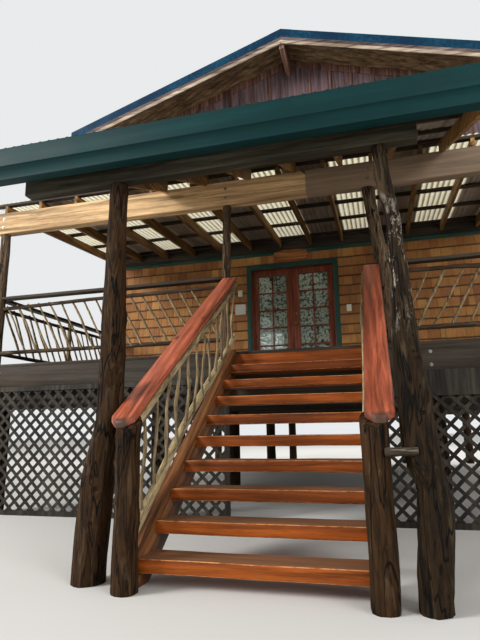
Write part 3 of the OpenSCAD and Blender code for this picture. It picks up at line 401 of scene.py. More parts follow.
class HouseSizes(bpy.types.PropertyGroup):
    """Sizes of the finish that lies over the construction"""
    exposure: size("Shingle exposure", "Height of each shingle course that shows", 185 * MM, 0.1, 0.3)
    shingle_least: size("Narrowest shingle", "Width of the narrowest shingle", 85 * MM, 0.05, 0.2)
    shingle_most: size("Widest shingle", "Width of the widest shingle", 205 * MM, 0.1, 0.4)
    shingle_butt: size("Shingle butt", "Thickness of a shingle at its lower edge", 20 * MM, 0.005, 0.03)
    plank: size("Deck plank", "Width of a deck plank", 138 * MM, 0.08, 0.25)
    plank_gap: size("Plank gap", "Gap between deck planks", 6 * MM, 0.002, 0.02)
    batten: size("Batten pitch", "Distance between battens on the upper walls", 406 * MM, 0.2, 0.8)
    slab_edge: size("Slab edge", "Rounding of the stair slabs' edges", 9 * MM, 0.002, 0.03)
    beam_edge: size("Beam edge", "Rounding of the beams' edges", 5 * MM, 0.001, 0.02)
    log_groove: size("Log grooves", "Depth of the grooves in the logs", 7 * MM, 0.0, 0.02)


class HouseColours(bpy.types.PropertyGroup):
    """Main colours"""
    stain: tint("Stair stain", "Red-brown stain of the stair slabs", "#9a4d13")
    handrail: tint("Handrail stain", "Redder stain of the handrails", "#ba6347")
    log: tint("Log", "Peeled log", "#33210f")
    branch: tint("Branch", "Bare branches", "#857255")
    # Header colour is paler than the sawn timber, partly as painted sunlight on the header
    header: tint("Header", "Warm sawn header beam", "#cdaa7c")
    beam: tint("Beam", "Weathered dark timber", "#33291d")
    rafter: tint("Rafter", "Brown rafters of the deck roof", "#96703f")
    # Roofing paint leans blue, partly as a painted sky reflection
    roof: tint("Roof", "Blue-green roofing paint", "#06283f")
    gutter: tint("Gutter", "Dark green gutter paint", "#05292a")
    trim: tint("Trim", "Dark green trim paint", "#1d4037")
    cream: tint("Window frames", "Cream paint of the window frames", "#cdb592")
    gable: tint("Gable", "Purple-brown gable boards", "#625053")
    door: tint("Door", "Red-brown door timber", "#84432d")


def sizes():
    return bpy.context.scene.house_sizes


def colours():
    return bpy.context.scene.house_colours


SAW_GREY = "#6b6457"
BRANCH_BROWNS = "#19130d #44362a #766856"
STAIR_TILT = math.atan(STAIR_SLOPE)
HANDRAIL_END = ("Y", HANDRAIL_FOOT.y + 42 * MM, HANDRAIL_FOOT.y + 8 * MM, 0.9, "#4b3c30")
# The header beyond its joint is darker: partly its own timber, partly painted shade
DARK_HEADER = ("X", HEADER_JOINT - 5 * MM, HEADER_JOINT + 5 * MM, 0.85, "#8f7b69")
FRIEZE_FACE = ("Y", WALL_Y - 4 * MM, WALL_Y - 12 * MM, 0.85, "#7e5b50")

# Title, way of painting, tones (hex values or the user's own colours, by name) and settings of each finish
FINISHES = {
    # The pale colour on the slabs' rounded edges is a painted highlight as well as wear
    "oiled_tread": ("Oiled hardwood slab", stained, "stain",
                    dict(width=26 * MM, rough=0.55, relief=0.45, weather=(0.6, "#4a2611"),
                         top=(0.7, "#8f6e52"), wear_and_highlight=(0.8, "#d9935c"))),
    "oiled_stringer": ("Oiled stringer", timber, "#341f10 #734625 #97673c",
                       dict(grain="Y", slope=STAIR_TILT, rough=0.55, weather=(0.45, "#5a4432"))),
    "oiled_handrail": ("Oiled handrail slab", stained, "handrail",
                       dict(grain="Y", slope=math.atan(HANDRAIL_SLOPE), rough=0.45, coat=0.1,
                            wear_and_highlight=(0.5, "#5c3a2a"), zone=HANDRAIL_END)),
    "dark_log": ("Dark peeled log", log_wood, "#0c0703 log #63503a", dict(veins=0.35)),
    "gnarled_log": ("Gnarled log with lichen", log_wood, "#090604 #271b0d #5d4f39",
                    dict(veins=0.35, lichen=("#b5ac9e", 1.5, 2.55))),
    "deck_log": ("Weathered deck log", log_wood, "#241c14 #5a4836 #8f8370", {}),
    "bare_branch": ("Bare branch", log_wood, "#45392a branch #b3a283",
                    dict(veins=0.4, depth=2 * MM, splits=0.4)),
    "stair_branch": ("Branch rail", log_wood, "#544631 #a28f6a #c8b997",
                     dict(veins=0.3, grain="Y", slope=STAIR_TILT, depth=1.5 * MM, splits=0.2, relief=0.4)),
    "tie_branch": ("Weathered tie", log_wood, "#15110c #3b3228 #857b6b",
                   dict(grain="X", depth=2 * MM, splits=0.5)),
    "rail_branch_x": ("Branch rail, front", log_wood, BRANCH_BROWNS,
                      dict(grain="X", depth=2 * MM, splits=0.4)),
    "rail_branch_y": ("Branch rail, side", log_wood, BRANCH_BROWNS,
                      dict(grain="Y", depth=2 * MM, splits=0.4)),
    # Its zone darkens the header beyond the joint, partly as painted shade
    "warm_beam": ("Sawn header beam", stained, "header",
                  dict(width=30 * MM, rough=0.62, relief=0.3, zone=DARK_HEADER)),
    "eave_beam": ("Weathered eave beam", timber, "#15130d #322e22 #4d4a3c", {}),
    "dark_beam_x": ("Weathered beam", stained, "beam", dict(weather=(0.25, SAW_GREY))),
    "dark_beam_y": ("Weathered joist", stained, "beam", dict(grain="Y", weather=(0.25, SAW_GREY))),
    "deck_plank": ("Weathered deck plank", stained, "beam", dict(weather=(0.4, SAW_GREY))),
    "rafter": ("Sawn rafter", stained, "rafter", dict(grain="Y", weather=(0.4, "#3a2a1f"))),
    "lath": ("Weathered lath", timber, "#14110d #2a251e #464136", dict(grain="Z", weather=(0.3, "#5a554a"))),
    "floor_board": ("Pine floor board", timber, "#6b4a2a #9c7444 #bd9460", dict(grain="Y")),
    "soffit_board": ("Roof boarding", timber, "#4a3b2c #8d7354 #b79c76",
                     dict(width=40 * MM, weather=(0.4, "#4a3c2e"))),
    "gable_board": ("Stained gable board", stained, "gable",
                    dict(grain="Z", rough=0.7, weather=(0.35, "#7a6468"), zone=FRIEZE_FACE)),
    "gable_batten": ("Stained batten", timber, "#3f2a24 #704e43 #917063", dict(grain="Z")),
    "barge_board": ("Barge board", timber, "#3b3030 #6f5e5c #968680", {}),
    "barge_strip": ("Weathered barge strip", timber, "#6e5c4d #bba891 #dccdb8",
                    dict(width=30 * MM, weather=(0.6, "#7d6a5b"))),
    "ridge_timber": ("Stained ridge beam", timber, "#5a3a33 #8f665a #c4a08c", dict(grain="Y")),
    "shingle": ("Split wood shingle", split_shingle, "#2c1a0d #915a2b #b37d40 #ca9a54", {}),
    "door_timber": ("Oiled door timber", stained, "door",
                    dict(grain="Z", width=16 * MM, rough=0.45, relief=0.2, coat=0.1)),
    # The pale colour on the plaque's rounded edges is a painted highlight as well as wear
    "plaque_wood": ("Carved plaque", timber, "#5d3218 #9a5f33 #c98f58", dict(wear_and_highlight=(0.6, "#d6a36c"))),
    "trim_paint": ("Green trim paint", painted_board, "trim #16332f", {}),
    "cream_paint": ("Cream window paint", painted_board, "cream #8f7452", dict(grain="X")),
    # These roof tones lean blue, partly as a painted sky reflection
    "roof_steel": ("Blue-green roofing steel", painted_steel, "roof #114860 #a89e8f", {}),
    "main_roof_steel": ("Main roofing steel", painted_steel, "roof #114860 #a89e8f", dict(run="X")),
    "gutter_steel": ("Gutter steel", painted_steel, "gutter #0a3737", dict(rough=0.5, run="X")),
    # The second tone darkens the valleys: dust and painted shade
    "skylight": ("Fibreglass roof sheet", translucent_sheet, "#fbf8ea #cdc3a4", {}),
    "glass": ("Float glass", float_glass, "#e6efe9", {}),
    "lace": ("Cotton lace", cotton_lace, "#e8ebe2 #6a6f64", {}),
    "brass": ("Aged brass", patchy_metal, "#5c4526 #a98546",
              dict(cell=17, detail=5, rough=0.32, metallic=1.0)),
    "zinc": ("Zinc-plated fixing", patchy_metal, "#6d6c68 #a3a29c",
             dict(cell=25, detail=4, rough=0.45, metallic=0.85)),
    "plate": ("Moulded wall plate", glazed_tile, "#d8d2c0 #a9a08b", {}),
    "tile": ("Glazed wall tile", glazed_tile, "#c9c6bb #77736a", {}),
    "floor": ("Pale floor", matt_floor, "#d9d6d0", {}),
}
MATERIALS = {}


def material(name):
    """Material of a finish, made when it is first used"""
    if name not in MATERIALS:
        title, paint, tones, settings = FINISHES[name]
        made = bpy.data.materials.new(title)
        made.use_nodes = True
        tree = made.node_tree
        tree.nodes.clear()
        linear = [srgb(tone) if tone[0] == "#" else tuple(getattr(colours(), tone)) for tone in tones.split()]
        add(tree, "OutputMaterial", inputs={"Surface": paint(tree, *linear, **settings)})
        MATERIALS[name] = made
    return MATERIALS[name]


def finish_piece(bm, name, finish, replaces=(), angle=40, body="house"):
    """Makes the object, shades it, and sets what it rides on and what it stands for"""
    mesh = bpy.data.meshes.new(name)
    bm.to_mesh(mesh)
    bm.free()
    mesh.shade_smooth()
    mesh.set_sharp_from_angle(angle=math.radians(angle))
    mesh.materials.append(material(finish))
    piece = bpy.data.objects.new(name, mesh)
    bpy.context.scene.collection.objects.link(piece)
    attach(piece, body)
    if replaces:
        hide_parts(*replaces)
    return piece


def carry_over(node, finish):
    """A CAD node that keeps its shape takes its finish"""
    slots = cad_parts[node].data.materials
    slots.clear()
    slots.append(material(finish))


def merged_copy(node):
    bm = bmesh.new()
    bm.from_mesh(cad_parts[node].data)
    bmesh.ops.remove_doubles(bm, verts=bm.verts, dist=0.05 * MM)
    bmesh.ops.dissolve_limit(bm, angle_limit=math.radians(0.5), verts=bm.verts, edges=bm.edges)
    return bm


def round_edges(bm, radius, segments=2, least=30):
    """Rounds the convex edges that are sharper than the least angle, and marks their middles as worn, for
    edge wear and painted highlights
    """
    sharp = [e for e in bm.edges
             if len(e.link_faces) == 2 and e.is_convex and e.calc_face_angle() > math.radians(least)]
    rounded = bmesh.ops.bevel(bm, geom=sharp, offset=radius, offset_type="OFFSET", segments=segments,
                              profile=0.5, affect="EDGES", material=-1, clamp_overlap=True)
    worn = bm.verts.layers.float.get("worn") or bm.verts.layers.float.new("worn")
    curved = set(rounded["faces"])
    for vert in {v for face in curved for v in face.verts}:
        if curved.issuperset(vert.link_faces):
            vert[worn] = 1.0


def wander(bm, step, amount, reach=0.35):
    """Cuts long edges and moves the points a little, so that a hand-finished slab isn't dead straight"""
    long_edges = [e for e in bm.edges if e.calc_length() > 2 * step]
    if long_edges:
        cuts = int(min(24, max(e.calc_length() for e in long_edges) / step))
        bmesh.ops.subdivide_edges(bm, edges=long_edges, cuts=cuts, use_grid_fill=True)
    noise.seed_set(SEED)
    for vert in bm.verts:
        vert.co += amount * noise.noise_vector(vert.co / reach)


def eased(node, name, finish, radius, step=0.0, amount=0.0, body="house", segments=2):
    """A copy of a CAD node with rounded edges, which stands for the node"""
    bm = merged_copy(node)
    round_edges(bm, radius, segments)
    if step:
        wander(bm, step, amount)
    finish_piece(bm, name, finish, (node,), body=body)


def add_box(bm, corner, opposite):
    """A box between two opposite corners"""
    lowest = Vector([min(p, q) for p, q in zip(corner, opposite)])
    highest = Vector([max(p, q) for p, q in zip(corner, opposite)])
    matrix = Matrix.Translation((lowest + highest) / 2) @ Matrix.Diagonal((*(highest - lowest), 1))
    return bmesh.ops.create_cube(bm, size=1.0, matrix=matrix)["verts"]


def roughened_log(bm, name, finish, replaces, voxel, groove, lumps=0.0, burls=0, seed=0):
    """Remeshes a log into even faces, rounds it, cuts grooves along it and swells burls; ends stay level"""
    mesh = bpy.data.meshes.new(name)
    bm.to_mesh(mesh)
    bm.free()
    maker = bpy.data.objects.new(name + "_maker", mesh)
    bpy.context.scene.collection.objects.link(maker)
    remesh = maker.modifiers.new("Even faces", "REMESH")
    remesh.mode = "VOXEL"
    remesh.voxel_size = voxel
    graph = bpy.context.evaluated_depsgraph_get()
    even = bpy.data.meshes.new_from_object(maker.evaluated_get(graph))
    bpy.data.objects.remove(maker)
    log = bmesh.new()
    log.from_mesh(even)
    for _ in range(3):
        bmesh.ops.smooth_vert(log, verts=log.verts, factor=0.5, use_axis_x=True, use_axis_y=True)
    log.normal_update()
    rng = random.Random(seed)
    spots = list(log.verts)
    burl_list = [(rng.choice(spots).co.copy(), rng.uniform(28, 60) * MM, rng.uniform(6, 16) * MM)
                 for _ in range(burls)]
    moves = []
    for vert in log.verts:
        side = Vector((vert.normal.x, vert.normal.y, 0))
        place = Vector((vert.co.x * 13, vert.co.y * 13, vert.co.z * 1.1 + seed))
        wide = abs(noise.noise(place))
        narrow = abs(noise.noise(place * 2.7))
        push = groove * (1.5 * wide + 0.6 * narrow - 0.75)
        push += lumps * noise.noise(Vector((vert.co.x * 4, vert.co.y * 4, vert.co.z * 3 + seed)))
        for middle, reach, swell in burl_list:
            away = (vert.co - middle).length_squared / (reach * reach)
            if away < 9:
                push += swell * math.exp(-away) * (1.0 - 1.5 * math.exp(-6 * away))
        moves.append(side * push)
    for vert, move in zip(log.verts, moves):
        vert.co += move
    finish_piece(log, name, finish, replaces, 60)


def crooked(start, end, radius, sway, rng, points=7, taper=0.85, knots=0.18):
    """Path of a crooked branch with a radius at each point"""
    start = Vector(start)
    end = Vector(end)
    path = []
    phase = rng.uniform(0, 6.28)
    for i in range(points):
        share = i / (points - 1)
        drift = math.sin(math.pi * share)
        off = Vector([rng.uniform(-1, 1), rng.uniform(-1, 1), rng.uniform(-0.3, 0.3)]) * 0.5
        off += Vector((math.sin(phase + 5 * share), math.cos(phase + 4 * share), 0))
        thick = radius * (1 - (1 - taper) * share) * (1 + rng.uniform(-knots, knots))
        path.append((start.lerp(end, share) + off * sway * drift, thick))
    return path


def branch_mesh(name, paths, sides=2, bumps=2.5 * MM):
    """Turns branch paths into one mesh with round, knobbly skins"""
    curve = bpy.data.curves.new(name, "CURVE")
    curve.dimensions = "3D"
    curve.bevel_depth = 1.0
    curve.bevel_resolution = sides
    curve.use_fill_caps = True
    curve.resolution_u = 4
    for path in paths:
        spline = curve.splines.new("NURBS")
        spline.points.add(len(path) - 1)
        for point, (place, radius) in zip(spline.points, path):
            point.co = (*place, 1)
            point.radius = radius
        spline.order_u = 3
        spline.use_endpoint_u = True
    maker = bpy.data.objects.new(name + "_maker", curve)
    bpy.context.scene.collection.objects.link(maker)
    graph = bpy.context.evaluated_depsgraph_get()
    mesh = bpy.data.meshes.new_from_object(maker.evaluated_get(graph))
    bpy.data.objects.remove(maker)
    bm = bmesh.new()
    bm.from_mesh(mesh)
    bmesh.ops.remove_doubles(bm, verts=bm.verts, dist=0.1 * MM)
    bmesh.ops.recalc_face_normals(bm, faces=bm.faces)
    bm.normal_update()
    for vert in bm.verts:
        vert.co += vert.normal * bumps * noise.noise(vert.co * 26)
    return bm


def wave_sheet(bm, count, length, matrix, rows=8):
    """Corrugated sheet, count waves wide along X and length long from Y = 0, moved by the matrix"""
    before = set(bm.verts)
    half = count * WAVE_PITCH / 2
    place = Matrix.Translation((0, length / 2, 0)) @ Matrix.Diagonal((2 * half, length, 1, 1))
    bmesh.ops.create_grid(bm, x_segments=count * WAVE_FACES, y_segments=rows, size=0.5, matrix=place)
    fresh = [v for v in bm.verts if v not in before]
    for vert in fresh:
        share = (vert.co.x + half) / WAVE_PITCH - 0.1
        vert.co.z = 1.5 * MM + (WAVE_D - 3 * MM) * (1 - math.cos(2 * math.pi * share)) / 2
    faces = [f for f in bm.faces if f.verts[0] not in before]
    bmesh.ops.solidify(bm, geom=faces, thickness=1.2 * MM)
    fresh = [v for v in bm.verts if v not in before]
    bmesh.ops.transform(bm, matrix=matrix, verts=fresh)


def sloping_sheet(node):
    """Start, tilt and length of a corrugated sheet that rises along Y, from its node's box"""
    lowest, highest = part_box(node)
    tilt = math.atan((highest.z - lowest.z - WAVE_D) / (highest.y - lowest.y))
    length = (highest.y - lowest.y) / math.cos(tilt) - WAVE_D * math.tan(tilt)
    start = Vector(((lowest.x + highest.x) / 2, lowest.y + WAVE_D * math.sin(tilt), lowest.z))
    return start, tilt, length


def main_roof_slope():
    lowest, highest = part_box("main_roof_right")
    return (highest.z - lowest.z - WAVE_D) / (highest.x - lowest.x)


def screw_rows(name, start, tilt, length, rows, waves):
    """Rows of roofing screws with washers, standing square to a slope that rises along Y"""
    turn = Matrix.Rotation(tilt, 4, "X")
    bm = bmesh.new()
    for row in rows:
        for wave in waves:
            spot = Vector(((wave + 0.6) * WAVE_PITCH, row * length, WAVE_D))
            spot.rotate(turn)
            for sides, lower, upper, depth in ((8, 9, 7, 3), (6, 5, 4, 10)):
                bmesh.ops.create_cone(bm, cap_ends=True, segments=sides, radius1=lower * MM,
                                      radius2=upper * MM, depth=depth * MM,
                                      matrix=Matrix.Translation(start + spot) @ turn)
    finish_piece(bm, name, "zinc", (), 30)


class HOUSE_OT_stair(bpy.types.Operator):
    """Treads, stringers, handrail slabs and the head board over the top riser"""
    bl_idname = "house.stair"
    bl_label = "Stair"

    def execute(self, context):
        edge = sizes().slab_edge
        eased("stair_treads", "tread_slabs", "oiled_tread", edge, 90 * MM, 3 * MM,
              segments=3)
        eased("stair_stringers", "stringer_slabs", "oiled_stringer", edge, 180 * MM, 2 * MM)
        eased("handrails", "handrail_slabs", "oiled_handrail", 1.4 * edge, 120 * MM, 4 * MM,
              segments=3)
        board = bmesh.new()
        add_box(board, (STAIR_LEFT, DECK_EDGE - 3 * MM, FLOOR_Z - RISE - 90 * MM),
                (STAIR_RIGHT, DECK_EDGE - 0.2 * MM, low("deck_boards").z))
        finish_piece(board, "stair_head_board", "oiled_tread")
        return {"FINISHED"}


class HOUSE_OT_logs(bpy.types.Operator):
    """Front logs, newels, deck posts and stilts"""
    bl_idname = "house.logs"
    bl_label = "Log posts"

    def execute(self, context):
        groove = sizes().log_groove
        whole = merged_copy("front_logs")
        gnarled = whole.copy()
        for bm, keep_right in ((whole, False), (gnarled, True)):
            away = [v for v in bm.verts if (v.co.x > STAIR_X) != keep_right]
            bmesh.ops.delete(bm, geom=away, context="VERTS")
        roughened_log(whole, "straight_front_log", "dark_log", ("front_logs",), 8 * MM, 1.3 * groove,
                      6 * MM, 5, 2)
        roughened_log(gnarled, "gnarled_front_log", "gnarled_log", ("front_logs",), 8 * MM,
                      1.8 * groove, 18 * MM, 18, 3)
        roughened_log(merged_copy("newel_posts"), "newel_logs", "dark_log", ("newel_posts",), 8 * MM,
                      1.2 * groove, 11 * MM, 14, 7)
        roughened_log(merged_copy("deck_posts"), "deck_post_logs", "deck_log", ("deck_posts",),
                      11 * MM, groove, 6 * MM, 10, 11)
        roughened_log(merged_copy("stilts"), "stilt_logs", "dark_log", ("stilts",), 24 * MM, groove,
                      4 * MM, 0, 17)
        newel_y = (low("newel_posts").y + high("newel_posts").y) / 2
        tie = crooked((high("newel_posts").x - 35 * MM, newel_y - 62 * MM, 863 * MM),
                      (high("newel_posts").x + 150 * MM, newel_y - 62 * MM, 872 * MM), 28 * MM, 4 * MM,
                      random.Random(SEED + 4), 5, 0.9, 0.1)
        finish_piece(branch_mesh("log_tie", [tie]), "log_tie", "tie_branch", (), 50)
        return {"FINISHED"}


class HOUSE_OT_stair_branches(bpy.types.Operator):
    """Branch rails and branch balusters on both sides of the stair"""
    bl_idname = "house.stair_branches"
    bl_label = "Stair branches"

    def execute(self, context):
        rng = random.Random(SEED)
        thick = 28 * MM
        upper_side = STAIR_X - HANDRAIL_FOOT.x - HANDRAIL_W + 8 * MM
        lower_side = (STAIR_RIGHT - STAIR_LEFT) / 2 + 24 * MM
        head = high("stair_branch_rails").y
        foot = high("newel_posts").y - 30 * MM

        def lower_z(y):
            return FLOOR_Z + 180 * MM + (y - DECK_EDGE) * STAIR_SLOPE

        def upper_z(y):
            return HANDRAIL_FOOT.z + (y - HANDRAIL_FOOT.y) * HANDRAIL_SLOPE - 38 * MM

        rails = []
        paths = []
        balusters = 12
        for side in (-1, 1):
            x_low = STAIR_X + side * lower_side
            x_up = STAIR_X + side * upper_side
            rails.append(crooked((x_low, foot, lower_z(foot)), (x_low, head, lower_z(head)),
                                 thick * 1.3, 40 * MM, rng, 7, 0.88, 0.06))
            rails.append(crooked((x_up, foot, upper_z(foot)), (x_up, head, upper_z(head)),
                                 thick * 0.95, 14 * MM, rng, 10, 0.9, 0.1))
            for k in range(balusters):
                y = foot + (head - foot) * (k + 0.5) / balusters
                shift = rng.uniform(-26, 26) * MM
                radius = rng.uniform(12, 17) * MM
                base = (x_low, y - shift, lower_z(y - shift) + 6 * MM)
                top = (x_up, y + shift, upper_z(y + shift) + 6 * MM)
                path = crooked(base, top, radius, 15 * MM, rng, 7, 0.75)
                paths.append(path)
                if k % 3 == 1:
                    fork = path[3 + k % 2][0]
                    tip = fork + Vector((side * rng.uniform(-8, 8), rng.uniform(35, 60),
                                         rng.uniform(70, 120))) * MM
                    paths.append([(fork, radius * 0.8),
                                  (fork.lerp(tip, 0.5) + Vector((0, 6 * MM, 0)), radius * 0.55),
                                  (tip, radius * 0.42)])
        finish_piece(branch_mesh("stair_branch_pair", rails, 3, 1.5 * MM), "stair_branch_pair",
                     "stair_branch", ("stair_branch_rails",), 50)
        finish_piece(branch_mesh("stair_branches", paths), "stair_branches",
                     "bare_branch", ("stair_branch_rails",), 50)
        return {"FINISHED"}


class HOUSE_OT_deck_railing(bpy.types.Operator):
    """Railing round the deck: plank, two branches and slanted branch balusters"""
    bl_idname = "house.deck_railing"
    bl_label = "Deck railing"

    def execute(self, context):
        rng = random.Random(SEED + 1)
        lowest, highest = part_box("deck_railings")
        plank_t = 38 * MM
        plank_half = 60 * MM
        front_y = lowest.y + plank_half
        corner_x = highest.x - plank_half
        clear = 66 * MM
        runs = [
            (Vector((-corner_x + clear, front_y, 0)), Vector((-435 * MM, front_y, 0))),
            (Vector((corner_x - clear, front_y, 0)), Vector((1575 * MM, front_y, 0))),
            (Vector((-corner_x, front_y + clear, 0)), Vector((-corner_x, WALL_Y - 1 * MM, 0))),
            (Vector((corner_x, front_y + clear, 0)), Vector((corner_x, WALL_Y - 1 * MM, 0))),
        ]
        planks = bmesh.new()
        rails = ([], [])
        balusters = []
        for start, end in runs:
            across = (end - start).normalized().cross(UP) * plank_half
            add_box(planks, start - across + UP * (highest.z - plank_t), end + across + UP * highest.z)
            self.branches(start, end, highest.z - plank_t, rng, rails[start.x == end.x], balusters)
        round_edges(planks, 6 * MM)
        wander(planks, 160 * MM, 3 * MM)
        finish_piece(planks, "railing_planks", "deck_plank", ("deck_railings",))
        for paths, name, finish in ((rails[0], "front_rail_branches", "rail_branch_x"),
                                    (rails[1], "side_rail_branches", "rail_branch_y")):
            finish_piece(branch_mesh(name, paths, 3, 1.5 * MM), name, finish,
                         ("deck_railings",), 50)
        finish_piece(branch_mesh("railing_balusters", balusters), "railing_balusters",
                     "bare_branch", ("deck_railings",), 50)
        return {"FINISHED"}

    def branches(self, start, end, plank_z, rng, rails, balusters):
        """Two branches, one post and the balusters of one run, which lean towards its start at the top"""
        along = (end - start).normalized()
        length = (end - start).length
        low_z = FLOOR_Z + 170 * MM
        high_z = plank_z - 90 * MM
        rails.append(crooked(start + UP * (high_z - 30 * MM), end + UP * (high_z + 10 * MM), 27 * MM, 24 * MM,
                             rng, 12, 0.85, 0.12))
        rails.append(crooked(start + UP * low_z, end + UP * low_z, 27 * MM, 16 * MM, rng, 12, 0.9, 0.12))
        middle = start.lerp(end, 0.5)
        balusters.append(crooked(middle + UP * FLOOR_Z, middle + UP * (plank_z + 2 * MM), 38 * MM, 6 * MM,
                                 rng, 6, 0.92, 0.08))
        lean = 190 * MM
        first = lean + 32 * MM
        count = round((length - 2 * first) / (175 * MM))
        for k in range(count + 1):
            spot = start + along * (first + (length - 2 * first) * k / count)
            shift = along * (lean + rng.uniform(-20, 20) * MM)
            balusters.append(crooked(spot + shift + UP * (low_z - 10 * MM),
                                     spot - shift + UP * (high_z + 8 * MM),
                                     rng.uniform(13, 18) * MM, 10 * MM, rng, 6, 0.85))


class HOUSE_OT_roof_timbers(bpy.types.Operator):
    """Header, eave beam, rafters, purlins and ledger of the deck roof and canopy, and the ridge beam"""
    bl_idname = "house.roof_timbers"
    bl_label = "Roof timbers"

    def execute(self, context):
        edge = sizes().beam_edge
        eased("header_beam", "header_timbers", "warm_beam", edge, 300 * MM, 3 * MM)
        eased("eave_beam", "eave_timber", "eave_beam", 1.5 * edge, 200 * MM, 4 * MM)
        eased("roof_rafters", "rafter_timbers", "rafter", 0.6 * edge)
        eased("roof_purlins", "purlin_timbers", "dark_beam_x", 0.6 * edge)
        eased("wall_ledger", "ledger_timber", "dark_beam_x", 0.6 * edge)
        eased("ridge_beam", "ridge_timber", "ridge_timber", edge)
        return {"FINISHED"}


class HOUSE_OT_roof_sheets(bpy.types.Operator):
    """Corrugated steel and translucent sheets, screws, flashings and gutter"""
    bl_idname = "house.roof_sheets"
    bl_label = "Roof sheets"

    def execute(self, context):
        self.canopy()
        self.deck_roof()
        self.main_roof()
        eased("eave_gutter", "eave_gutter_trough", "gutter_steel", 1.5 * MM)
        carry_over("roof_flashings", "roof_steel")
        return {"FINISHED"}

    def canopy(self):
        lowest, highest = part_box("canopy_sheet")
        start, tilt, length = sloping_sheet("canopy_sheet")
        count = round((highest.x - lowest.x) / WAVE_PITCH)
        bm = bmesh.new()
        wave_sheet(bm, count, length, Matrix.Translation(start) @ Matrix.Rotation(tilt, 4, "X"))
        finish_piece(bm, "canopy_steel", "roof_steel", ("canopy_sheet",), 60)
        screw_rows("canopy_screws", start, tilt, length, (0.05, 0.28, 0.52, 0.75, 0.97),
                   [k - count / 2 for k in range(0, count, 3)])

    def deck_roof(self):
        start, tilt, length = sloping_sheet("skylight_sheets")
        strip = 608 * MM
        waves = round(strip / WAVE_PITCH)
        clear_sheets = bmesh.new()
        steel = bmesh.new()
        strips = 6
        for k in range(-strips, strips + 1):
            target = steel if k % 2 else clear_sheets
            place = Matrix.Translation(start + Vector((k * strip, 0, 0))) @ Matrix.Rotation(tilt, 4, "X")
            wave_sheet(target, waves, length, place)
        finish_piece(clear_sheets, "skylights", "skylight", ("skylight_sheets",), 60)
        finish_piece(steel, "deck_roof_steel", "roof_steel", ("deck_roof_sheets",), 60)
        screw_rows("deck_roof_screws", start, tilt, length, (0.03, 0.26, 0.5, 0.73, 0.96), range(-50, 51, 3))

    def main_roof(self):
        for side, node in ((1, "main_roof_right"), (-1, "main_roof_left")):
            lowest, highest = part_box(node)
            reach = highest.x - lowest.x
            tilt = math.atan((highest.z - lowest.z - WAVE_D) / reach)
            length = reach / math.cos(tilt)
            count = round((highest.y - lowest.y) / WAVE_PITCH)
            edge = highest.x if side > 0 else lowest.x
            start = Vector((edge, (lowest.y + highest.y) / 2, lowest.z))
            turn = Matrix.Rotation(side * math.radians(90), 4, "Z") @ Matrix.Rotation(tilt, 4, "X")
            bm = bmesh.new()
            wave_sheet(bm, count, length, Matrix.Translation(start) @ turn)
            finish_piece(bm, node + "_steel", "main_roof_steel", (node,), 60)


class HOUSE_OT_deck(bpy.types.Operator):
    """Deck planks, rim boards, joists, beams, floor and lattice"""
    bl_idname = "house.deck"
    bl_label = "Deck"

    def execute(self, context):
        rng = random.Random(SEED + 2)
        lowest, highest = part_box("deck_boards")
        pitch = sizes().plank + sizes().plank_gap
        count = round((highest.y - lowest.y) / pitch)
        pitch = (highest.y - lowest.y) / count
        bm = bmesh.new()
        for k in range(count):
            y = lowest.y + k * pitch
            joint = rng.uniform(-1.6, 1.6)
            depth = pitch - sizes().plank_gap
            add_box(bm, (lowest.x, y, lowest.z), (joint - 1.5 * MM, y + depth, highest.z))
            add_box(bm, (joint + 1.5 * MM, y, lowest.z), (highest.x, y + depth, highest.z))
        round_edges(bm, 4 * MM)
        finish_piece(bm, "deck_planks", "deck_plank", ("deck_boards",))
        carry_over("house_floor", "floor_board")
        eased("rim_boards", "rim_timbers", "dark_beam_x", 3 * MM)
        eased("floor_joists", "joist_timbers", "dark_beam_y", 3 * MM)
        eased("floor_beams", "beam_timbers", "dark_beam_x", 6 * MM)
        carry_over("lattice_left", "lath")
        carry_over("lattice_right", "lath")
        return {"FINISHED"}


def course_spans(x0, x1, z0, z1, holes):
    """Stretches of a course between its ends that no opening covers, each with its own low and high edge"""
    marks = sorted({x0, x1, *[m for h in holes for m in (h[0], h[1]) if x0 < m < x1]})
    spans = []
    for a, b in zip(marks, marks[1:]):
        bottom, top = z0, z1
        middle = (a + b) / 2
        for left, right, base, head in holes:
            if left < middle < right and base < z1 and head > z0:
                if head < z1:
                    bottom = max(bottom, head)
                elif base > z0:
                    top = min(top, base)
                else:
                    bottom = top
        if top - bottom > 12 * MM:
            spans.append((a, b, bottom, top))
    return spans


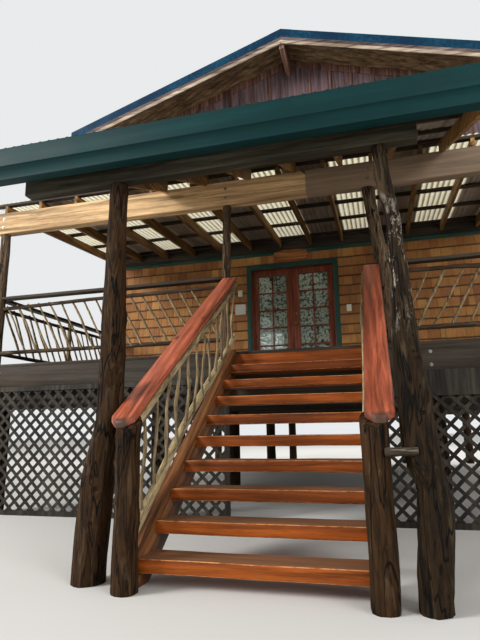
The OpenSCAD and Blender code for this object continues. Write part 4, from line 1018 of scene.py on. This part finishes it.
def shingle_wall(bm, tone, butt_shade, corner, out, length, z0, z1, holes, rng):
    """Shingles on one wall face: corner is the left end seen from outside, out is the way it faces"""
    right = UP.cross(out)
    exposure = (z1 - z0) / round((z1 - z0) / sizes().exposure)
    lap = 22 * MM
    courses = round((z1 - z0) / exposure)
    for course in range(courses):
        base = z0 + course * exposure
        head = base + exposure
        for a, b, bottom, top in course_spans(0, length, base, head, holes):
            x = a
            while x < b - 1 * MM:
                width = rng.uniform(sizes().shingle_least, sizes().shingle_most)
                if b - (x + width) < sizes().shingle_least:
                    width = b - x
                drop = rng.uniform(-3, 3) * MM if bottom == base and course else 0
                butt = sizes().shingle_butt * rng.uniform(0.75, 1.2)
                ceiling = min(top + lap, z1) if top == head else top
                lowest = Vector((x + 2.5 * MM, 0, bottom + drop))
                highest = Vector((x + width - 2.5 * MM, butt, ceiling))
                verts = add_box(bm, lowest, highest)
                value = min(1, max(0.25, rng.gauss(0.56, 0.12)))
                for face in {f for v in verts for f in v.link_faces}:
                    # Bottom faces take the darkest tone: painted shade under each butt
                    face[tone] = 0.05 if face.calc_center_median().z < bottom + drop + 1 * MM else value
                for vert in verts:
                    # The lower half of each shingle is marked for the painted shadow line along its butt
                    vert[butt_shade] = 1.0 if vert.co.z < (bottom + ceiling) / 2 else 0.0
                    depth = vert.co.y
                    if depth > 0 and vert.co.z > (bottom + ceiling) / 2:
                        depth = 2.5 * MM
                    vert.co = corner + right * vert.co.x + out * depth + UP * vert.co.z
                x += width


def batten_wall(bm, corner, out, length, z0, z1, pitch):
    """Upright battens, evenly spaced along one wall face"""
    right = UP.cross(out)
    half = 22 * MM
    count = int(length / pitch)
    for k in range(1, count + 1):
        x = (k - 0.5) * length / count
        add_box(bm, corner + right * (x - half) + UP * z0,
                corner + right * (x + half) + out * 20 * MM + UP * z1)


class HOUSE_OT_walls(bpy.types.Operator):
    """Shingle courses, upper boards, battens and belt boards"""
    bl_idname = "house.walls"
    bl_label = "Walls"

    def execute(self, context):
        width = 2 * HALF_W
        depth = BACK_Y - WALL_Y
        front = Vector((0, -1, 0))
        back = Vector((0, 1, 0))
        left = Vector((-1, 0, 0))
        right = Vector((1, 0, 0))
        window_low = WINDOW_Z - TRIM_W
        window_high = WINDOW_Z + WINDOW_H + TRIM_W
        reach = WINDOW_W / 2 + TRIM_W
        door = [(DOOR_TRIM_LOW.x + HALF_W, DOOR_TRIM_HIGH.x + HALF_W, FLOOR_Z - 1, DOOR_TRIM_HIGH.z)]
        side_right = [(y - WALL_Y - reach, y - WALL_Y + reach, window_low, window_high) for y in WINDOW_YS]
        side_left = [(BACK_Y - y - reach, BACK_Y - y + reach, window_low, window_high) for y in WINDOW_YS]
        rear = [(HALF_W - x - reach, HALF_W - x + reach, window_low, window_high) for x in WINDOW_XS]
        faces = [
            ("front_shingles", Vector((-HALF_W, WALL_Y, 0)), front, width, BAND_LOW, door),
            ("right_shingles", Vector((HALF_W, WALL_Y, 0)), right, depth, UPPER_Z - 40 * MM, side_right),
            ("back_shingles", Vector((HALF_W, BACK_Y, 0)), back, width, UPPER_Z - 40 * MM, rear),
            ("left_shingles", Vector((-HALF_W, BACK_Y, 0)), left, depth, UPPER_Z - 40 * MM, side_left),
        ]
        for index, (name, corner, out, length, top, holes) in enumerate(faces):
            bm = bmesh.new()
            tone = bm.faces.layers.float.new("tone")
            butt_shade = bm.verts.layers.float.new("butt")
            shingle_wall(bm, tone, butt_shade, corner, out, length, FLOOR_Z, top, holes,
                         random.Random(SEED + 10 + index))
            bmesh.ops.recalc_face_normals(bm, faces=bm.faces)
            finish_piece(bm, name, "shingle", (), 20)
        self.upper_walls(left, right)
        self.belt()
        for node in ("front_wall_left", "front_wall_right", "wall_over_door", "gable_wall", "side_wall_left",
                     "side_wall_right", "back_wall"):
            carry_over(node, "gable_board")
        eased("rake_friezes", "frieze_boards", "gable_batten", 3 * MM)
        return {"FINISHED"}

    def upper_walls(self, left, right):
        bm = bmesh.new()
        top = EAVES_Z - 10 * MM
        depth = BACK_Y - WALL_Y
        batten_wall(bm, Vector((HALF_W, WALL_Y, 0)), right, depth, UPPER_Z + 50 * MM, top, sizes().batten)
        batten_wall(bm, Vector((-HALF_W, BACK_Y, 0)), left, depth, UPPER_Z + 50 * MM, top, sizes().batten)
        round_edges(bm, 3 * MM)
        finish_piece(bm, "side_battens", "gable_batten")

    def belt(self):
        bm = bmesh.new()
        base = UPPER_Z - 42 * MM
        head = UPPER_Z + 48 * MM
        out = 26 * MM
        add_box(bm, (HALF_W, WALL_Y, base), (HALF_W + out, BACK_Y, head))
        add_box(bm, (-HALF_W - out, WALL_Y, base), (-HALF_W, BACK_Y, head))
        add_box(bm, (-HALF_W - out, BACK_Y, base), (HALF_W + out, BACK_Y + out, head))
        round_edges(bm, 3 * MM)
        finish_piece(bm, "belt_boards", "trim_paint")


class HOUSE_OT_main_roof_edges(bpy.types.Operator):
    """Barge boards with pale strips, folded flashing edges and the boarding under the main roof"""
    bl_idname = "house.main_roof_edges"
    bl_label = "Roof edges"

    def execute(self, context):
        eased("barge_boards", "barge_timbers", "barge_board", 3 * MM)
        carry_over("roof_boards", "soffit_board")
        self.flashing_hems()
        self.barge_strips()
        return {"FINISHED"}

    def flashing_hems(self):
        """Folded lower edges of the rake flashings, over the upper part of the barge boards"""
        lowest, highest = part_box("roof_flashings")
        slope = main_roof_slope()
        half = highest.x
        drop = 36 * MM
        thick = 5.5 * MM
        middle_z = lowest.z + slope * half / 2 + 4 * MM - drop / 2
        bm = bmesh.new()
        for side in (-1, 1):
            for y in (lowest.y + 0.5 * MM, highest.y - 0.5 * MM):
                place = Matrix(((half, 0, 0, side * half / 2), (0, thick, 0, y),
                                (-side * slope * half, 0, drop, middle_z), (0, 0, 0, 1)))
                bmesh.ops.create_cube(bm, size=1, matrix=place)
        round_edges(bm, 1 * MM)
        finish_piece(bm, "flashing_hems", "roof_steel", (), 30)

    def barge_strips(self):
        """Pale strips on the lower quarter of the barge boards, a little proud of them"""
        lowest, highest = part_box("barge_boards")
        slope = main_roof_slope()
        depth = highest.z - lowest.z - slope * highest.x
        strips = bmesh.new()
        for side in (-1, 1):
            half = merged_copy("barge_boards")
            spot = Vector((0, 0, highest.z - 0.76 * depth))
            up = Vector((side * slope, 0, 1)).normalized()
            for place, normal in ((Vector((0, 0, 0)), Vector((-side, 0, 0))), (spot, up)):
                cut = bmesh.ops.bisect_plane(half, geom=half.verts[:] + half.edges[:] + half.faces[:],
                                             plane_co=place, plane_no=normal, clear_outer=True)["geom_cut"]
                bmesh.ops.holes_fill(half, edges=[e for e in cut if isinstance(e, bmesh.types.BMEdge)])
            for vert in half.verts:
                vert.co.y += -7 * MM if vert.co.y < 0 else 7 * MM
            mesh = bpy.data.meshes.new("strip")
            half.to_mesh(mesh)
            half.free()
            strips.from_mesh(mesh)
            bpy.data.meshes.remove(mesh)
        round_edges(strips, 2 * MM)
        finish_piece(strips, "barge_strips", "barge_strip")


class HOUSE_OT_doors(bpy.types.Operator):
    """French doors with glazing bars, glass and lace, and their frame and knobs"""
    bl_idname = "house.doors"
    bl_label = "French doors"

    def execute(self, context):
        eased("door_frame", "door_frame_timber", "door_timber", 2 * MM)
        for side in ("left", "right"):
            body = "door_" + side
            eased("door_leaf_" + side, "leaf_" + side, "door_timber", 2.5 * MM, body=body)
            carry_over("door_glass_" + side, "glass")
            self.lace(side, body)
        carry_over("door_knobs", "brass")
        return {"FINISHED"}

    def lace(self, side, body):
        node = "lace_" + side
        lowest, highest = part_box(node)
        width = highest.x - lowest.x
        height = highest.z - lowest.z
        middle = (lowest + highest) / 2
        turn = Matrix.Rotation(math.radians(90), 4, "X") @ Matrix.Diagonal((width, height, 1, 1))
        bm = bmesh.new()
        bmesh.ops.create_grid(bm, x_segments=48, y_segments=90, size=0.5,
                              matrix=Matrix.Translation(middle) @ turn)
        for vert in bm.verts:
            vert.co.y += 0.7 * MM * math.sin((vert.co.x - lowest.x) * 2 * math.pi / (33 * MM))
        piece = finish_piece(bm, "lace_panel_" + side, "lace", (node,), 60, body)


class HOUSE_OT_windows(bpy.types.Operator):
    """Frames, glass and green trim of the windows and the doorway"""
    bl_idname = "house.windows"
    bl_label = "Windows and trim"

    def execute(self, context):
        eased("window_frames", "sash_frames", "cream_paint", 2 * MM)
        carry_over("window_glass", "glass")
        eased("wall_trim", "trim_boards", "trim_paint", 2.5 * MM)
        return {"FINISHED"}


class HOUSE_OT_fixings(bpy.types.Operator):
    """Plaque over the door, wall plates, wall tile and bolts"""
    bl_idname = "house.fixings"
    bl_label = "Fixings"

    def execute(self, context):
        self.plaque()
        self.plates()
        self.bolts()
        return {"FINISHED"}

    def plaque(self):
        lowest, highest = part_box("door_plaque")
        middle = (lowest + highest) / 2
        half = (highest - lowest) / 2
        bm = bmesh.new()
        bmesh.ops.create_circle(bm, segments=120, radius=1.0)
        for vert in bm.verts:
            c, s = vert.co.x, vert.co.y
            turn = math.atan2(s, c)
            reach = (abs(c) ** 3.4 + abs(s) ** 3.4) ** (-1 / 3.4)
            reach *= 1 - 0.06 * (1 - math.cos(10 * turn)) / 2
            vert.co = (middle.x + half.x * reach * c, highest.y, middle.z + half.z * reach * s)
        ring = bm.edges[:]
        bmesh.ops.edgeloop_fill(bm, edges=ring)
        shares = (1, 1, 0.985, 0.9, 0.87, 0.83, 0.8)
        depths = (0, 1, 1, 1, 0.75, 0.75, 0.95)
        for before, share, depth in zip(shares, shares[1:], depths[1:]):
            grown = bmesh.ops.extrude_edge_only(bm, edges=ring)["geom"]
            ring = [e for e in grown if isinstance(e, bmesh.types.BMEdge)]
            for vert in [v for v in grown if isinstance(v, bmesh.types.BMVert)]:
                vert.co.x = middle.x + (vert.co.x - middle.x) * share / before
                vert.co.z = middle.z + (vert.co.z - middle.z) * share / before
                vert.co.y = highest.y + (lowest.y - highest.y) * depth
        bmesh.ops.edgeloop_fill(bm, edges=ring)
        bmesh.ops.recalc_face_normals(bm, faces=bm.faces)
        finish_piece(bm, "carved_plaque", "plaque_wood", ("door_plaque",))

    def plates(self):
        """Two plates with a raised middle and one framed tile, on the wall beside the doors"""
        left_x = -1090 * MM
        plates = bmesh.new()
        for x, z in ((left_x, 3520 * MM), (915 * MM, 3090 * MM)):
            self.block(plates, x, z, 42 * MM, 62 * MM, 7 * MM, 18 * MM)
            self.block(plates, x, z, 9 * MM, 22 * MM, 13 * MM, -2 * MM)
        round_edges(plates, 3 * MM)
        finish_piece(plates, "wall_plates", "plate")
        tile = bmesh.new()
        self.block(tile, left_x, 3205 * MM, 100 * MM, 100 * MM, 10 * MM, 18 * MM)
        face = min(tile.faces, key=lambda f: f.calc_center_median().y)
        bmesh.ops.inset_region(tile, faces=[face], thickness=12 * MM, depth=-3 * MM)
        round_edges(tile, 3 * MM)
        finish_piece(tile, "wall_tile", "tile")

    def block(self, bm, x, z, half_x, half_z, front, back):
        """A box on the wall's shingles, which stands out by front and goes in by back"""
        face = WALL_Y - 20 * MM
        add_box(bm, (x - half_x, face - front, z - half_z), (x + half_x, face + back, z + half_z))

    def bolts(self):
        """Pairs of bolts through the header and the rim, one over the other"""
        bm = bmesh.new()
        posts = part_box("deck_posts")
        header_xs = (posts[0].x + 65 * MM, -371 * MM, 1382 * MM, posts[1].x - 65 * MM)
        rim_xs = (-3.55, -1.254, 1.9, 3.55)
        for node, xs, apart in (("header_beam", header_xs, 60 * MM), ("rim_boards", rim_xs, 70 * MM)):
            lowest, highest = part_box(node)
            for x in xs:
                for step in (-apart, apart):
                    self.bolt(bm, Vector((x, lowest.y, (lowest.z + highest.z) / 2 + step)))
        finish_piece(bm, "through_bolts", "zinc", (), 30)

    def bolt(self, bm, place):
        turn = Matrix.Rotation(math.radians(90), 4, "X")
        for radius, depth, sides in ((19 * MM, 3 * MM, 20), (10 * MM, 12 * MM, 6)):
            spot = Matrix.Translation(place - Vector((0, depth / 2, 0))) @ turn
            bmesh.ops.create_cone(bm, cap_ends=True, segments=sides, radius1=radius, radius2=radius,
                                  depth=depth, matrix=spot)


class HOUSE_OT_stage(bpy.types.Operator):
    """Pale floor, soft lamps, pale surroundings and the camera"""
    bl_idname = "house.stage"
    bl_label = "Stage"

    def execute(self, context):
        scene = context.scene
        scene.view_settings.view_transform = "Standard"
        self.floor()
        self.world(scene)
        self.lamp("key", (-16, -18, 11), (0, -3, 2), 8, 4700)
        self.lamp("fill", (14, -17, 8), (0, -1, 3), 9, 1500)
        self.lamp("back", (3, 14, 15), (0, 2, 4), 10, 2100)
        self.camera(scene)
        return {"FINISHED"}

    def floor(self):
        bm = bmesh.new()
        bmesh.ops.create_circle(bm, cap_ends=True, segments=96, radius=60)
        mesh = bpy.data.meshes.new("floor")
        bm.to_mesh(mesh)
        bm.free()
        floor = bpy.data.objects.new("floor", mesh)
        bpy.context.scene.collection.objects.link(floor)
        mesh.materials.append(material("floor"))

    def world(self, scene):
        world = bpy.data.worlds.new("Pale surroundings")
        world.use_nodes = True
        tree = world.node_tree
        tree.nodes.clear()
        light = add(tree, "Background", 0, {"Color": srgb("#eef1f4"), "Strength": 0.7})
        seen = add(tree, "Background", 0, {"Color": srgb("#e9ebec"), "Strength": 1.0})
        path = add(tree, "LightPath")
        mirrored = add(tree, "Math", 0, {0: path["Is Glossy Ray"], 1: path["Is Transmission Ray"]},
                       operation="MAXIMUM")
        shown = add(tree, "Math", 0, {0: path["Is Camera Ray"], 1: mirrored}, operation="MAXIMUM")
        mix = add(tree, "MixShader", 0, {0: shown, 1: light, 2: seen})
        add(tree, "OutputWorld", inputs={"Surface": mix})
        scene.world = world

    def lamp(self, name, place, target, width, power):
        data = bpy.data.lights.new(name, "AREA")
        data.shape = "DISK"
        data.size = width
        data.energy = power
        lamp = bpy.data.objects.new(name, data)
        lamp.location = place
        lamp.rotation_euler = (Vector(target) - Vector(place)).to_track_quat("-Z", "Y").to_euler()
        bpy.context.scene.collection.objects.link(lamp)

    def camera(self, scene):
        yaw = math.radians(15.1)
        pitch = math.radians(11.89)
        roll = math.radians(-0.905)
        ahead = Vector((-math.sin(yaw) * math.cos(pitch), math.cos(yaw) * math.cos(pitch), math.sin(pitch)))
        right = Vector((math.cos(yaw), math.sin(yaw), 0))
        above = right.cross(ahead)
        tilted_right = right * math.cos(roll) + above * math.sin(roll)
        tilted_up = above * math.cos(roll) - right * math.sin(roll)
        data = bpy.data.cameras.new("camera")
        data.lens = 28.96
        data.sensor_width = 36
        camera = bpy.data.objects.new("camera", data)
        camera.matrix_world = Matrix((tilted_right, tilted_up, -ahead)).transposed().to_4x4()
        camera.location = (1.3648, -9.675, 1.0125)
        scene.collection.objects.link(camera)
        scene.camera = camera


OPERATORS = (
    HOUSE_OT_stair, HOUSE_OT_logs, HOUSE_OT_stair_branches, HOUSE_OT_deck_railing, HOUSE_OT_roof_timbers,
    HOUSE_OT_roof_sheets, HOUSE_OT_deck, HOUSE_OT_walls, HOUSE_OT_main_roof_edges, HOUSE_OT_doors,
    HOUSE_OT_windows, HOUSE_OT_fixings, HOUSE_OT_stage,
)


class HOUSE_PT_panel(bpy.types.Panel):
    """Lists the pieces of the house"""
    bl_label = "Stilt House"
    bl_space_type = "VIEW_3D"
    bl_region_type = "UI"
    bl_category = "Stilt House"

    def draw(self, context):
        for group in (context.scene.house_sizes, context.scene.house_colours):
            for key in group.__annotations__:
                self.layout.prop(group, key)
        for operator in OPERATORS:
            self.layout.operator(operator.bl_idname)


CLASSES = (HouseSizes, HouseColours, *OPERATORS, HOUSE_PT_panel)


def register():
    for cls in CLASSES:
        bpy.utils.register_class(cls)
    bpy.types.Scene.house_sizes = bpy.props.PointerProperty(type=HouseSizes)
    bpy.types.Scene.house_colours = bpy.props.PointerProperty(type=HouseColours)


def unregister():
    del bpy.types.Scene.house_sizes
    del bpy.types.Scene.house_colours
    for cls in reversed(CLASSES):
        bpy.utils.unregister_class(cls)


def main():
    register()
    for operator in OPERATORS:
        group, name = operator.bl_idname.split(".")
        getattr(getattr(bpy.ops, group), name)()


if __name__ == "__main__":
    main()
